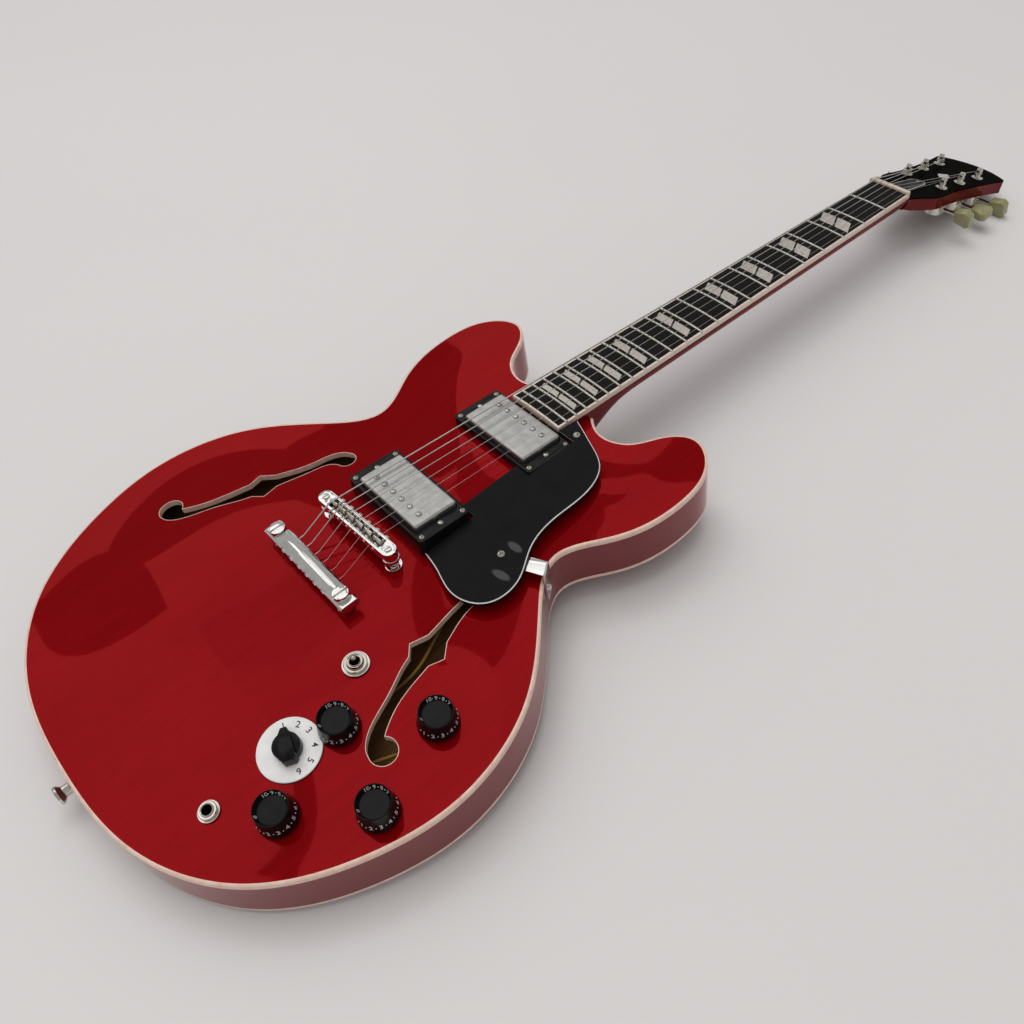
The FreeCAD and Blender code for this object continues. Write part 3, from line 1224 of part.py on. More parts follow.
axis_low = -size("axle_drop")
frames_solids = []
for index, frame in enumerate(tuner_frames):
    sign = 1 if index >= 3 else -1
    toward_end = sign * size("worm_offset")
    middle = V(0, toward_end / 2, 0)
    wall = size("housing_wall")
    shell = stadium(size("housing_length"), size("housing_width"), -size("housing_height"), 0)
    hollow = stadium(size("housing_length") - 2 * wall, size("housing_width") - 2 * wall,
                     -size("housing_height") + wall, 1)
    ears = stadium(size("flange_reach"), 10.0, -size("flange_plate"), 0)
    housing = shell.fuse(ears).cut(hollow)
    housing.translate(middle)
    axle_bore = size("shaft_radius") + size("running_gap")
    axle_hole = rod(V(0, toward_end, axis_low), V(30, toward_end, axis_low), axle_bore)
    ear_holes = []
    for end in (-1, 1):
        ear = (size("flange_reach") / 2 - 3.0) * end + toward_end / 2
        ear_holes.append(Part.makeCylinder(0.9 + size("screw_gap"), 10, V(0, ear, -5)))
    frames_solids.append(placed(housing.cut([axle_hole] + ear_holes), frame))
    sleeve = Part.makeCylinder(size("bushing_radius"), 6.0, V(0, 0, -6.0))
    collar = Part.makeCylinder(size("bushing_flange"), size("flange_height"), V(0, 0, gap))
    sleeve = sleeve.fuse([collar, Part.makeCylinder(size("bushing_radius"), 1.0, V(0, 0, -0.5))])
    sleeve = sleeve.cut(Part.makeCylinder(size("post_radius") + size("running_gap"), 30, V(0, 0, -15)))
    spot = tuner_place(index)
    frames_solids.append(placed(sleeve.removeSplitter(), head.multiply(shift(spot.x, spot.y, 0))))
group("tuner_frames", frames_solids)

near_end = size("button_reach")
far_end = near_end + size("button_length")
neck_half = size("button_neck") / 2
button_half = size("button_width") / 2
BUTTON_OUTLINE = [(-neck_half, near_end), (neck_half, near_end), (button_half, far_end - 4),
                  (button_half - 3, far_end), (3 - button_half, far_end), (-button_half, far_end - 4)]
# how far each key was left turned
KEY_REST = (0.0, 15.0, -10.0, -60.0, 18.0, -62.0)
for index, frame in enumerate(tuner_frames):
    sign = 1 if index >= 3 else -1
    toward_end = sign * size("worm_offset")
    label = f"tuner_key_{index + 1}"
    worm = cylinder(label + "_worm", "worm_radius", "worm_length", "-worm_length / 2")
    axle = cylinder(label + "_axle", "shaft_radius", "button_reach", "worm_length / 4")
    collar = cylinder(label + "_collar", "shaft_radius + 1.6", "3", "button_reach - 2")
    button_wire = polygon([(x, y, 0) for x, y in BUTTON_OUTLINE])
    button_wire.rotate(V(0, 0, 0), V(1, 0, 0), 90)
    button_wire.translate(V(0, size("button_thickness") / 2, 0))
    button = doc.addObject("Part::Extrusion", label + "_button")
    button.Base = feature(label + "_button_outline", button_wire)
    button.DirMode = "Custom"
    button.Dir = V(0, -1, 0)
    button.Solid = True
    bind(button, LengthFwd="button_thickness")
    lay = FreeCAD.Placement(V(0, toward_end, axis_low), FreeCAD.Rotation(V(0, 1, 0), 90))
    lay = lay.multiply(turn(V(0, 0, 1), 90 + KEY_REST[index]))
    node(label, fuse(label, [worm, axle, collar, button]), frame.multiply(lay))

gear_low = axis_low - size("gear_height") / 2
for index in range(6):
    label = f"tuner_post_{index + 1}"
    spot = tuner_place(index)
    base = -core_high - veneer - gap + gear_low
    gear = cylinder(label + "_gear", "gear_radius", "gear_height")
    lower = cylinder(label + "_lower", "post_radius", f"{-base} + flange_height + glue_gap")
    waist = cylinder(label + "_waist", "post_waist", f"{-base} + post_height - 2")
    upper = cone(label + "_upper", "post_radius", "post_radius - 0.5", "2.4", f"{-base} + post_height - 2.4")
    eye = doc.addObject("Part::Cylinder", label + "_eye")
    bind(eye, Radius="0.9", Height="12")
    eye.Placement = turn(V(1, 0, 0), 90, V(0, 6, -base + size("post_height") - 4.8))
    turned = cut(label, fuse(label + "_turned", [gear, lower, waist, upper]), eye)
    node(label, turned, head.multiply(shift(spot.x, spot.y, base)))

# Controls: knobs on their shafts, potentiometers, selector, toggle and jack
for index, frame in enumerate(knob_frames):
    label = f"control_knob_{index + 1}"
    skirt = cone(label + "_skirt", "knob_base", "knob_top", "knob_height", "knob_lift")
    recess = cylinder(label + "_recess", "knob_recess", "recess_depth + 1", "knob_lift - 1")
    shaft_run = "shaft_depth + knob_lift + knob_height / 2"
    shaft_piece = cylinder(label + "_shaft", "shaft_size", shaft_run, "-shaft_depth")
    hollowed = cut(label + "_hollowed", skirt, recess)
    node(label, fuse(label, [hollowed, shaft_piece]), frame)

pots = []
for frame in knob_frames + [dial_frame]:
    lift = 0.0 if frame is not dial_frame else size("dial_lift") + size("dial_thickness")
    can_base = V(0, 0, -size("pot_drop") - size("pot_height"))
    body = Part.makeCylinder(size("pot_radius"), size("pot_height"), can_base)
    thread = Part.makeCylinder(size("pot_thread"), size("pot_drop") + 3.4 + lift, V(0, 0, -size("pot_drop")))
    nut_disc = Part.makeCylinder(size("pot_nut"), size("pot_nut_height"), V(0, 0, 0.5 + lift))
    bore = Part.makeCylinder(size("shaft_size") + size("running_gap"), 40, V(0, 0, -size("shaft_depth") - 0.5))
    pots.append(placed(body.fuse([thread, nut_disc]).removeSplitter().cut(bore), frame))
group("potentiometers", pots)

dial_ring = cylinder("dial_disc", "dial_radius", "dial_thickness", "dial_lift")
dial_bore = cylinder("dial_bore", "pot_thread + screw_gap", "dial_thickness + 2", "dial_lift - 1")
node("selector_dial", cut("selector_dial", dial_ring, dial_bore), dial_frame)

pointer_frame = dial_frame.multiply(turn(V(0, 0, 1), POINTER_REST))
pointer_low = size("dial_lift") + size("dial_thickness") + 0.4
round_body = Part.makeCylinder(size("pointer_radius"), size("pointer_round"), V(0, 0, pointer_low))
tip = size("pointer_reach")
BAR_HALF = [(tip, 2.0), (5.0, 4.8), (-9.0, 5.2), (-11.2, 3.6)]
BAR_LINE = BAR_HALF + [(x, -y) for x, y in BAR_HALF[::-1]]
bar_outline = polygon([(x, y, pointer_low) for x, y in BAR_LINE])
bar_high = size("pointer_height") - 1.0
bar_solid = Part.Face(bar_outline).extrude(V(0, 0, bar_high))
NOSE_START = 3.0
NOSE_DROP = 5.0
NOSE_HALF = 8.0
bar_top = pointer_low + bar_high
nose_line = [(NOSE_START, bar_top), (tip + 1, bar_top - NOSE_DROP), (tip + 1, bar_top + 1),
             (NOSE_START, bar_top + 1)]
nose_side = Part.Face(polygon([(x, -NOSE_HALF, z) for x, z in nose_line]))
bar_solid = bar_solid.cut(nose_side.extrude(V(0, 2 * NOSE_HALF, 0)))
under = Part.makeCylinder(size("pot_nut") + 0.8, 4.8, V(0, 0, pointer_low - 1))
shaft_solid = Part.makeCylinder(size("shaft_size"), size("shaft_depth") + 10, V(0, 0, -size("shaft_depth")))
pointer = round_body.fuse(bar_solid).removeSplitter().cut(under).fuse(shaft_solid)
node("selector_knob", feature("selector_knob", pointer), pointer_frame)

PIVOT_LOW = -3.0
toggle_bush = Part.makeCylinder(size("toggle_thread"), size("toggle_height") + 12, V(0, 0, -12))
toggle_ring = Part.makeCylinder(size("toggle_nut"), 2.4, V(0, 0, 1.6))
toggle_flat = Part.makeCylinder(size("toggle_washer"), 0.9, V(0, 0, 0.7))
toggle_half = size("toggle_long") / 2
toggle_body = box(-toggle_half, toggle_half, -6.5, 6.5, -30, -10)
throat = Part.makeCone(2.1, 4.8, size("toggle_height") + 0.01 - PIVOT_LOW, V(0, 0, PIVOT_LOW))
socket = Part.makeSphere(2.2 + size("running_gap"), V(0, 0, PIVOT_LOW))
toggle_well = Part.makeCone(4.4, 1.9, 9.0, V(0, 0, PIVOT_LOW - 9.0))
toggle = toggle_bush.fuse([toggle_ring, toggle_flat, toggle_body]).removeSplitter()
toggle = toggle.cut([throat, socket, toggle_well])
node("toggle_switch", feature("toggle_switch", toggle), toggle_frame)
lever = Part.makeSphere(2.2, V(0, 0, PIVOT_LOW))
lever_run = size("lever_reach") - PIVOT_LOW - 1
lever = lever.fuse([Part.makeCylinder(size("lever_radius"), lever_run, V(0, 0, PIVOT_LOW)),
                    Part.makeSphere(size("lever_radius") + 0.5, V(0, 0, size("lever_reach") - 1)),
                    Part.makeCylinder(1.0, 6.5, V(0, 0, PIVOT_LOW - 6.5))])
node("toggle_lever", feature("toggle_lever", lever), toggle_frame)

jack_body = Part.makeCylinder(size("jack_thread"), size("jack_depth") + 4.2, V(0, 0, -size("jack_depth")))
jack_ring = Part.makeCylinder(size("jack_nut"), 2.6, V(0, 0, 1.4))
jack_flat = Part.makeCylinder(size("jack_washer"), 0.9, V(0, 0, 0.6))
jack_can = Part.makeCylinder(size("jack_can"), 14.0, V(0, 0, -size("jack_depth") - 2))
jack = jack_body.fuse([jack_ring, jack_flat, jack_can]).removeSplitter()
jack = jack.cut(Part.makeCylinder(size("jack_bore"), 60, V(0, 0, -size("jack_depth") + 2)))
node("output_jack", feature("output_jack", jack), jack_frame)


# Wiring: leads in the treble wing, straight runs with wide bends
def lead(points, radius):
    edges = []
    last = points[0]
    for before, corner, after in zip(points, points[1:], points[2:]):
        inward = corner - before
        onward = after - corner
        half_turn = inward.getAngle(onward) / 2
        widest = 0.45 * min(inward.Length, onward.Length) / math.tan(half_turn)
        a, arc_edge, b = bend(before, corner, after, widest)
        edges.append(Part.LineSegment(last, a).toShape())
        edges.append(arc_edge)
        last = b
    edges.append(Part.LineSegment(last, points[-1]).toShape())
    return tube(edges, points[0], points[1] - points[0], radius)


LEAD_RADIUS = 1.1
LEAD_SEAT = 0.15
LEAD_STUB = 12.0
pot_lug = -size("pot_drop") - size("pot_height") / 2
JACK_LUG = -19.0
TOGGLE_LUG = -20.0


def stub(frame, radius, angle, low, length=LEAD_STUB):
    # the first two points of a lead that leaves a round can straight out
    direction = V(math.cos(math.radians(angle)), math.sin(math.radians(angle)), 0)
    reaches = (radius + LEAD_SEAT, radius + length)
    return [frame.multVec(direction * reach_out + V(0, 0, low)) for reach_out in reaches]


def pot_stub(frame, angle, length=LEAD_STUB):
    return stub(frame, size("pot_radius"), angle, pot_lug, length)


pot_1, pot_2, pot_3, pot_4 = knob_frames
switch_to_pot = math.degrees(math.atan2(KNOB_PLACES[0][1] - DIAL_PLACE[1], KNOB_PLACES[0][0] - DIAL_PLACE[0]))
LEAD_ROUTES = [
    pot_stub(pot_1, -20) + pot_stub(pot_2, 260)[::-1],
    pot_stub(pot_3, 40) + pot_stub(pot_4, 220)[::-1],
    pot_stub(pot_1, 100) + [V(104.0, -40.0, 36.0), V(80.0, 10.0, 38.0), WIRE_CHANNELS[0] + V(9, 0, 0),
                            WIRE_CHANNELS[0] - V(26, 0, 0)],
    pot_stub(pot_2, 150) + [V(112.0, 0.0, 34.0), V(92.0, 70.0, 32.0), V(78.0, 118.0, 34.0),
                            WIRE_CHANNELS[1] + V(9, 0, 0), WIRE_CHANNELS[1] - V(26, 0, 0)],
    stub(jack_frame, size("jack_can"), 40, JACK_LUG, 8.0) + pot_stub(pot_3, 222, 8.0)[::-1],
    stub(toggle_frame, size("toggle_long") / 2, 0, TOGGLE_LUG, 8.0) + pot_stub(pot_1, 160, 8.0)[::-1],
    [pot_stub(dial_frame, switch_to_pot)[0], pot_stub(pot_1, switch_to_pot + 180)[0]],
]
leads = [lead(points, LEAD_RADIUS) for points in LEAD_ROUTES]
group("wiring", leads)


# Strap buttons at the tail and on the heel
def strap_button():
    base = Part.makeCone(size("strap_flange") - 0.6, size("strap_waist"), 3.0, V(0, 0, 0.4))
    waist = Part.makeCylinder(size("strap_waist"), size("strap_length") - 4.0, V(0, 0, 3.0))
    cap_base = V(0, 0, size("strap_length") - 5.0)
    rim_cap = Part.makeCone(size("strap_waist"), size("strap_flange"), 3.0, cap_base)
    lip = Part.makeCylinder(size("strap_flange"), 2.0, V(0, 0, size("strap_length") - 2.0))
    shank = Part.makeCylinder(2.0, STRAP_SCREW_LENGTH, V(0, 0, -STRAP_SCREW_LENGTH + 1))
    return base.fuse([waist, rim_cap, lip, shank]).removeSplitter()


group("strap_buttons", [placed(strap_button(), strap_tail_place), placed(strap_button(), heel_strap_place)])

# Checks, then one file for each sub-part
doc.recompute()
for obj in doc.Objects:
    if "Invalid" in obj.State or "Error" in obj.State:
        raise RuntimeError(f"{obj.Label} failed: {obj.State}")
os.makedirs("parts", exist_ok=True)
for label, obj in nodes.items():
    if obj.Shape.isNull() or not obj.Shape.isValid() or not obj.Shape.Solids:
        raise RuntimeError(f"{label} has no valid solid")
for label, obj in nodes.items():
    obj.Shape.exportStep(f"parts/{label}.step")
print(len(nodes), "sub-parts written")
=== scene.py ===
import math
import bmesh
import bpy
import numpy as np
from mathutils import Matrix, Vector
from mathutils.geometry import delaunay_2d_cdt


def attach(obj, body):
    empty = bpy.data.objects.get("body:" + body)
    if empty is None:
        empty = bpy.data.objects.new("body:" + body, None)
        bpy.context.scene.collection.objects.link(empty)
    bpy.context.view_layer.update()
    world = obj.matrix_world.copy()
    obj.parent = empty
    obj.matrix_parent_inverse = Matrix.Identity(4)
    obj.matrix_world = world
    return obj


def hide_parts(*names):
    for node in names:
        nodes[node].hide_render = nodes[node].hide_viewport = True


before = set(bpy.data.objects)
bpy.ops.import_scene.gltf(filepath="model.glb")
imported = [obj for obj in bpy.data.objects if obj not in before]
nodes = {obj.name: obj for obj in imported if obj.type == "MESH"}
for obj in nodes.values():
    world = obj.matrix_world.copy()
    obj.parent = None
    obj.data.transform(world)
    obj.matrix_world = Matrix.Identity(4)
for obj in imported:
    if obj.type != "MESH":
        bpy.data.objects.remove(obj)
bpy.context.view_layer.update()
scene = bpy.context.scene
scene.view_settings.view_transform = "Standard"
mm = 0.001
print("frame loaded:", len(nodes), "nodes")


def newObject(name, data):
    obj = bpy.data.objects.new(name, data)
    scene.collection.objects.link(obj)
    return obj


# camera, fitted to the photograph; its place in mm, its clipping range in metres
camera = {"centre": (458.97, -158.88, 611.92), "forward": (-0.54978, 0.34178, -0.76219),
          "right": (0.64928, 0.74891, -0.13252), "lens": 34.90, "sensor": 36.0, "near": 0.01, "far": 50}


def addCamera():
    data = bpy.data.cameras.new("camera")
    data.lens = camera["lens"]
    data.sensor_width = camera["sensor"]
    data.clip_start = camera["near"]
    data.clip_end = camera["far"]
    forward = Vector(camera["forward"]).normalized()
    right = Vector(camera["right"])
    right = (right - forward * right.dot(forward)).normalized()
    turn = Matrix((right, right.cross(forward), -forward)).transposed().to_4x4()
    scene.camera = newObject("camera", data)
    scene.camera.matrix_world = Matrix.Translation(Vector(camera["centre"]) * mm) @ turn


addCamera()


# small helpers for node trees and materials
def hexColour(text):  # sRGB hex to linear
    channels = [int(text[i:i + 2], 16) / 255 for i in (0, 2, 4)]
    linear = [c / 12.92 if c <= 0.04045 else ((c + 0.055) / 1.055) ** 2.4 for c in channels]
    return (*linear, 1.0)


def addNode(tree, kind, inputs=None, **settings):  # a node given as an input means its first output
    node = tree.nodes.new(kind)
    for name, value in settings.items():
        setattr(node, name, value)
    for key, value in (inputs or {}).items():
        if isinstance(value, bpy.types.Node):
            value = value.outputs[0]
        if isinstance(value, bpy.types.NodeSocket):
            tree.links.new(value, node.inputs[key])
        else:
            node.inputs[key].default_value = value
    return node


def calculate(tree, operation, *values):
    return addNode(tree, "ShaderNodeMath", dict(enumerate(values)), operation=operation)


def perMm(size):  # pattern scale for features of this size in mm
    return 1000.0 / size


def newMaterial(name, **shader):  # keywords set the shader's own sockets
    material = bpy.data.materials.new(name)
    material.use_nodes = True
    tree = material.node_tree
    principled = tree.nodes["Principled BSDF"]
    for key, value in shader.items():
        principled.inputs[key.replace("_", " ")].default_value = value
    spot = addNode(tree, "ShaderNodeTexCoord").outputs["Object"]
    return material, tree, principled, spot


def blendColours(tree, factor, first, second):  # from a hex or a socket to a hex
    start = hexColour(first) if isinstance(first, str) else first
    inputs = {0: factor, 6: start, 7: hexColour(second)}
    return addNode(tree, "ShaderNodeMix", inputs, data_type="RGBA").outputs[2]


def spread(tree, value, low, high, start=0.3, end=0.7):  # a noise value stretched to a range
    inputs = {"Value": value, "From Min": start, "From Max": end, "To Min": low, "To Max": high}
    return addNode(tree, "ShaderNodeMapRange", inputs).outputs[0]


even = (1, 1, 1)


def noise(tree, spot, size, stretch=even, detail=3.0, warp=0.0):
    placed = addNode(tree, "ShaderNodeMapping", {"Vector": spot, "Scale": stretch})
    inputs = {"Vector": placed, "Scale": perMm(size), "Detail": detail, "Distortion": warp}
    return addNode(tree, "ShaderNodeTexNoise", inputs).outputs["Fac"]


def link(tree, output, principled, socket):
    tree.links.new(output, principled.inputs[socket])


def addBump(tree, principled, height, depth, strength, socket="Normal"):
    inputs = {"Height": height, "Distance": depth * mm, "Strength": strength}
    link(tree, addNode(tree, "ShaderNodeBump", inputs).outputs[0], principled, socket)


def paint(tree, principled, value, dark, light):
    link(tree, blendColours(tree, spread(tree, value, 0, 1), dark, light), principled, "Base Color")


# two tones and a range of roughness by one noise (size in mm, stretch, detail), and fine marks by
# another one with its depth in mm, strength and socket
def surface(name, tones, pattern, marks=None, rough=None, **shader):
    material, tree, principled, spot = newMaterial(name, **shader)
    cloud = noise(tree, spot, *pattern)
    paint(tree, principled, cloud, *tones)
    if rough:
        link(tree, spread(tree, cloud, *rough), principled, "Roughness")
    if marks:
        addBump(tree, principled, noise(tree, spot, *marks[0]), *marks[1:])
    return material


# translucent cherry lacquer on maple: the stain tints what the polish mirrors, so it is part metallic
def cherryLacquer(name, dark, light, figure, coat):
    material, tree, shader, spot = newMaterial(
        name, Metallic=0.4, Roughness=0.05, Specular_IOR_Level=0.0, Specular_Tint=hexColour("FF2028"),
        Coat_Weight=coat, Coat_Roughness=0.012, Coat_IOR=1.45)
    grain = noise(tree, spot, figure, (1, 0.06, 1), 4.0)  # grain runs along the strings
    cloud = noise(tree, spot, 70, (1, 0.5, 1), 2.0)
    both = calculate(tree, "ADD", spread(tree, grain, 0, 0.55), spread(tree, cloud, 0, 0.45))
    link(tree, blendColours(tree, both, dark, light), shader, "Base Color")
    peel = noise(tree, spot, 9, even, 1.0)  # faint orange peel of sprayed lacquer
    addBump(tree, shader, peel, 0.004, 0.5, "Coat Normal")
    return material


# cream celluloid binding, scraped and lacquered: warm, faintly pink where the stain crept in
def creamCelluloid(name, *tones):
    return surface(name, tones, (6, even, 4.0), ((1.2,), 0.02, 0.3), Roughness=0.25, Coat_Weight=0.5,
                   Coat_Roughness=0.05, Subsurface_Weight=0.05,
                   Subsurface_Radius=(0.0012, 0.0007, 0.0005))


# plated or drawn metal: two tones, a range of polish, the depth of its fine marks and their noise
def platedMetal(name, tone, worn, rough, depth, marks=(0.5,)):
    return surface(name, (tone, worn), (7,), (marks, depth, 0.5), rough, Metallic=1.0)


# moulded plastic: fine texture, soft highlights
def mouldedPlastic(name, tone, lighter, rough, coat=0.0, shine=0.5):
    return surface(name, (tone, lighter), (9,), ((0.6,), 0.01, 0.4), (rough * 0.85, rough * 1.2),
                   Specular_IOR_Level=shine, Coat_Weight=coat, Coat_Roughness=0.06)


# pearloid: pale grey swirls with a silky sheen
def pearloid():
    material, tree, shader, spot = newMaterial("pearloid", Coat_Weight=0.6, Coat_Roughness=0.08)
    swirl = noise(tree, spot, 7, even, 2.0, 2.5)
    flake = addNode(tree, "ShaderNodeTexVoronoi", {"Vector": spot, "Scale": perMm(2.6)})
    tone = calculate(tree, "ADD", spread(tree, swirl, 0, 0.75), flake.outputs["Distance"])
    link(tree, blendColours(tree, tone, "938D86", "B7B0A7"), shader, "Base Color")
    link(tree, spread(tree, swirl, 0.14, 0.34), shader, "Roughness")
    return material


# wound and plain steel strings: turns of wrap wire show as a fine ripple, drawn coarser than life
def stringWire():
    material, tree, shader, spot = newMaterial("stringWire", Metallic=1.0, Roughness=0.28)
    bands = perMm(0.9) / 20  # the wave texture packs its bands about twenty times closer
    inputs = {"Vector": spot, "Scale": bands, "Distortion": 0.2}
    wrap = addNode(tree, "ShaderNodeTexWave", inputs, bands_direction="Y")
    paint(tree, shader, noise(tree, spot, 30, even, 2.0), "C9C6C0", "E2E0DC")
    addBump(tree, shader, wrap.outputs["Fac"], 0.04, 0.5)
    return material


# satin black pickguard sheet with dull grey smears beside its middle screw
def guardSheet():
    material, tree, shader, spot = newMaterial("guardSheet", Specular_IOR_Level=0.06)
    cloud = noise(tree, spot, 14, even, 4.0)
    tone = blendColours(tree, spread(tree, cloud, 0, 1), "111112", "171718")
    smears = ((0.0895, 0.0673, 0.05, 0.0075, 0.0034), (0.1008, 0.0446, 0.2, 0.0085, 0.0036))
    for x, y, angle, long, wide in smears:  # centre, turn and half lengths in metres
        inputs = {"Vector": spot, "Location": (x, y, 0), "Rotation": (0, 0, angle), "Scale": (long, wide, 1)}
        local = addNode(tree, "ShaderNodeMapping", inputs, vector_type="TEXTURE")
        flat = addNode(tree, "ShaderNodeVectorMath", {0: local, 1: (1, 1, 0)}, operation="MULTIPLY")
        reach = addNode(tree, "ShaderNodeVectorMath", {0: flat}, operation="LENGTH").outputs["Value"]
        tone = blendColours(tree, spread(tree, reach, 0.8, 0.0, 0.7, 1.0), tone, "4E4E50")
    link(tree, tone, shader, "Base Color")
    link(tree, spread(tree, cloud, 0.26, 0.42), shader, "Roughness")
    addBump(tree, shader, noise(tree, spot, 1.1, (1, 0.1, 1), 2.0), 0.01, 0.3)
    return material


cherry = cherryLacquer("cherryLacquer", "7E0005", "8C040D", 3.0, 0.15)
cherryRim = cherryLacquer("cherryLacquerRim", "681318", "761D22", 3.0, 1.0)
cherryNeck = cherryLacquer("cherryLacquerNeck", "560A0D", "6C1417", 2.2, 0.4)
# bare maple seen inside the body: open grain, matt; both tones are darkened as painted shade for the inside
# of the body
mapleGrain = (2.5, (1, 0.05, 1), 4.0)
maple = surface("bareMapleDarkenedAsShade", ("6E4A2C", "9C7448"), mapleGrain, (mapleGrain, 0.1, 0.4), Roughness=0.7)
bodyCream = creamCelluloid("creamCelluloid", "E2C7B4", "D6AE9F")
boardCream = creamCelluloid("creamCelluloidBoard", "DFD0C1", "D3C0B1")
bone = creamCelluloid("polishedBone", "D2BFB0", "C2AD9C")
# black lacquer on the headstock face: dull black with a faint gloss
headBlack = surface("blackLacquer", ("090807", "0F0D0C"), (12,), ((5, even, 1.0), 0.004, 0.5, "Coat Normal"),
                    Roughness=0.3, Specular_IOR_Level=0.0, Coat_Weight=0.03, Coat_Roughness=0.03)
# dark fretboard wood: near black, fine open pores along the neck, oiled
boardGrain = (0.9, (1, 0.03, 1), 5.0)
boardWood = surface("fretboardWood", ("0A0808", "181211"), boardGrain, (boardGrain, 0.06, 0.5), (0.36, 0.55),
                    Specular_IOR_Level=0.12)
pearl = pearloid()
fretWire = platedMetal("nickelSilverFrets", "D8D5CC", "C4C0B6", (0.16, 0.3), 0.02)
chrome = platedMetal("polishedChrome", "ECEBE8", "DDDCD9", (0.03, 0.1), 0.004)
nickel = platedMetal("polishedNickel", "DDD8CF", "C9C3B8", (0.08, 0.2), 0.008)
coverNickel = platedMetal("brushedNickel", "CBCAC7", "BDBCB8", (0.34, 0.4), 0.03, (0.7, (0.05, 1, 1)))
steel = platedMetal("machineSteel", "B9B8B5", "8F8D89", (0.25, 0.45), 0.03)
ringBlack = mouldedPlastic("glossBlackPlastic", "0B0B0C", "151515", 0.22, 0.1, 0.15)
knobBlack = mouldedPlastic("knobPlastic", "0A0A0B", "131315", 0.26, 0.1, 0.12)
partBlack = mouldedPlastic("blackPlastic", "0E0E0F", "171718", 0.4, 0.0, 0.15)
dialWhite = mouldedPlastic("whiteDialPlastic", "E4E3E1", "D9D8D6", 0.38, 0.1)
printWhite = mouldedPlastic("whitePrint", "CCCCCA", "C0C0BE", 0.5)
printBlack = mouldedPlastic("blackPrint", "1A1A1A", "242424", 0.5)
edgeWhite = mouldedPlastic("whitePly", "DADAD8", "C9C9C6", 0.35)
strings = stringWire()
# cloth-covered hook-up leads: brown and dull yellow lengths
leads = surface("leadCloth", ("5A3A1E", "B08A3A"), (45, even, 0.0), ((0.7, even, 2.0), 0.1, 0.6),
                Roughness=0.8)
# pale green translucent button plastic: waxy, faintly streaked
streaks = (5, (1, 1, 0.4), 4.0)
button = surface("buttonPlastic", ("86835A", "959268"), streaks, (streaks, 0.03, 0.3), Roughness=0.26,
                 Subsurface_Weight=0.35, Subsurface_Radius=(0.004, 0.004, 0.002), Coat_Weight=0.3,
                 Coat_Roughness=0.1)
guard = guardSheet()
print("materials made")


# mesh helpers; points are in mm until a mesh is made
def shade(mesh, angle):
    for polygon in mesh.polygons:
        polygon.use_smooth = True
    mesh.set_sharp_from_angle(angle=math.radians(angle))


def editMesh(mesh, change):
    bm = bmesh.new()
    bm.from_mesh(mesh)
    change(bm)
    bm.to_mesh(mesh)
    bm.free()


def evaluated(obj):  # a new mesh of the object as its modifiers leave it
    depsgraph = bpy.context.evaluated_depsgraph_get()
    return bpy.data.meshes.new_from_object(obj.evaluated_get(depsgraph))


def bakeModifiers(obj):
    mesh = evaluated(obj)
    old = obj.data
    obj.modifiers.clear()
    obj.data = mesh
    bpy.data.meshes.remove(old)


def softenEdges(obj, width):
    bevel = obj.modifiers.new("bevel", "BEVEL")
    bevel.width = width * mm
    bevel.segments = 2
    bevel.limit_method = "ANGLE"
    bevel.angle_limit = math.radians(40)
    bevel.use_clamp_overlap = True
    bakeModifiers(obj)


def joined(parts):  # [(points, faces, one slot or a list of slots)] into one list
    points, faces, slots = [], [], []
    for partPoints, partFaces, slot in parts:
        start = len(points)
        points += [tuple(p) for p in partPoints]
        faces += [tuple(i + start for i in face) for face in partFaces]
        slots += slot if isinstance(slot, list) else [slot] * len(partFaces)
    return points, faces, slots


def makePiece(name, parts, materials, place=Matrix(), angle=35, tidy=False, bevel=0.0):
    points, faces, slots = joined(parts)
    mesh = bpy.data.meshes.new(name)
    mesh.from_pydata(points, [], faces)
    mesh.transform(place)
    mesh.transform(Matrix.Scale(mm, 4))
    for material in materials:
        mesh.materials.append(material)
    mesh.polygons.foreach_set("material_index", slots)
    if tidy:
        editMesh(mesh, lambda bm: bmesh.ops.recalc_face_normals(bm, faces=bm.faces))
    obj = newObject(name, mesh)
    if bevel:
        softenEdges(obj, bevel)
    shade(obj.data, angle)
    return obj


def moved(part, place):
    points, faces, slot = part
    return [tuple(place @ Vector(p)) for p in points], faces, slot


def circle(centre, radius, steps=40):
    angles = [2 * math.pi * i / steps for i in range(steps)]
    return [(centre[0] + radius * math.cos(a), centre[1] + radius * math.sin(a)) for a in angles]


def ray(degrees):  # level unit vector
    angle = math.radians(degrees)
    return Vector((math.cos(angle), math.sin(angle), 0))


def rectangle(x0, x1, y0, y1):
    return [(x0, y0), (x1, y0), (x1, y1), (x0, y1)]


def turned(profile, steps=48, slot=0):  # a lathe: (radius, height) from the bottom of the axis to its top
    points, faces, rings = [], [], []
    for radius, height in profile:
        ring = circle((0, 0), radius, steps) if radius else [(0, 0)]
        rings.append(range(len(points), len(points) + len(ring)))
        points += [(x, y, height) for x, y in ring]
    for low, high in zip(rings, rings[1:]):
        for i in range(steps):
            j = (i + 1) % steps
            face = [low[i % len(low)], low[j % len(low)], high[j % len(high)], high[i % len(high)]]
            face = list(dict.fromkeys(face))
            if len(face) > 2:
                faces.append(face)
    return points, faces, slot


def prism(plan, low, high):  # upright prism over a counter-clockwise plan
    count = len(plan)
    points = [(x, y, z) for z in (low, high) for x, y in plan]
    faces = [tuple(range(count - 1, -1, -1)), tuple(range(count, 2 * count))]
    faces += [(i, (i + 1) % count, count + (i + 1) % count, count + i) for i in range(count)]
    return points, faces, 0


def own(piece, body, slot, *replaced):
    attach(piece, body)
    if replaced:
        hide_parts(*replaced)
    return piece


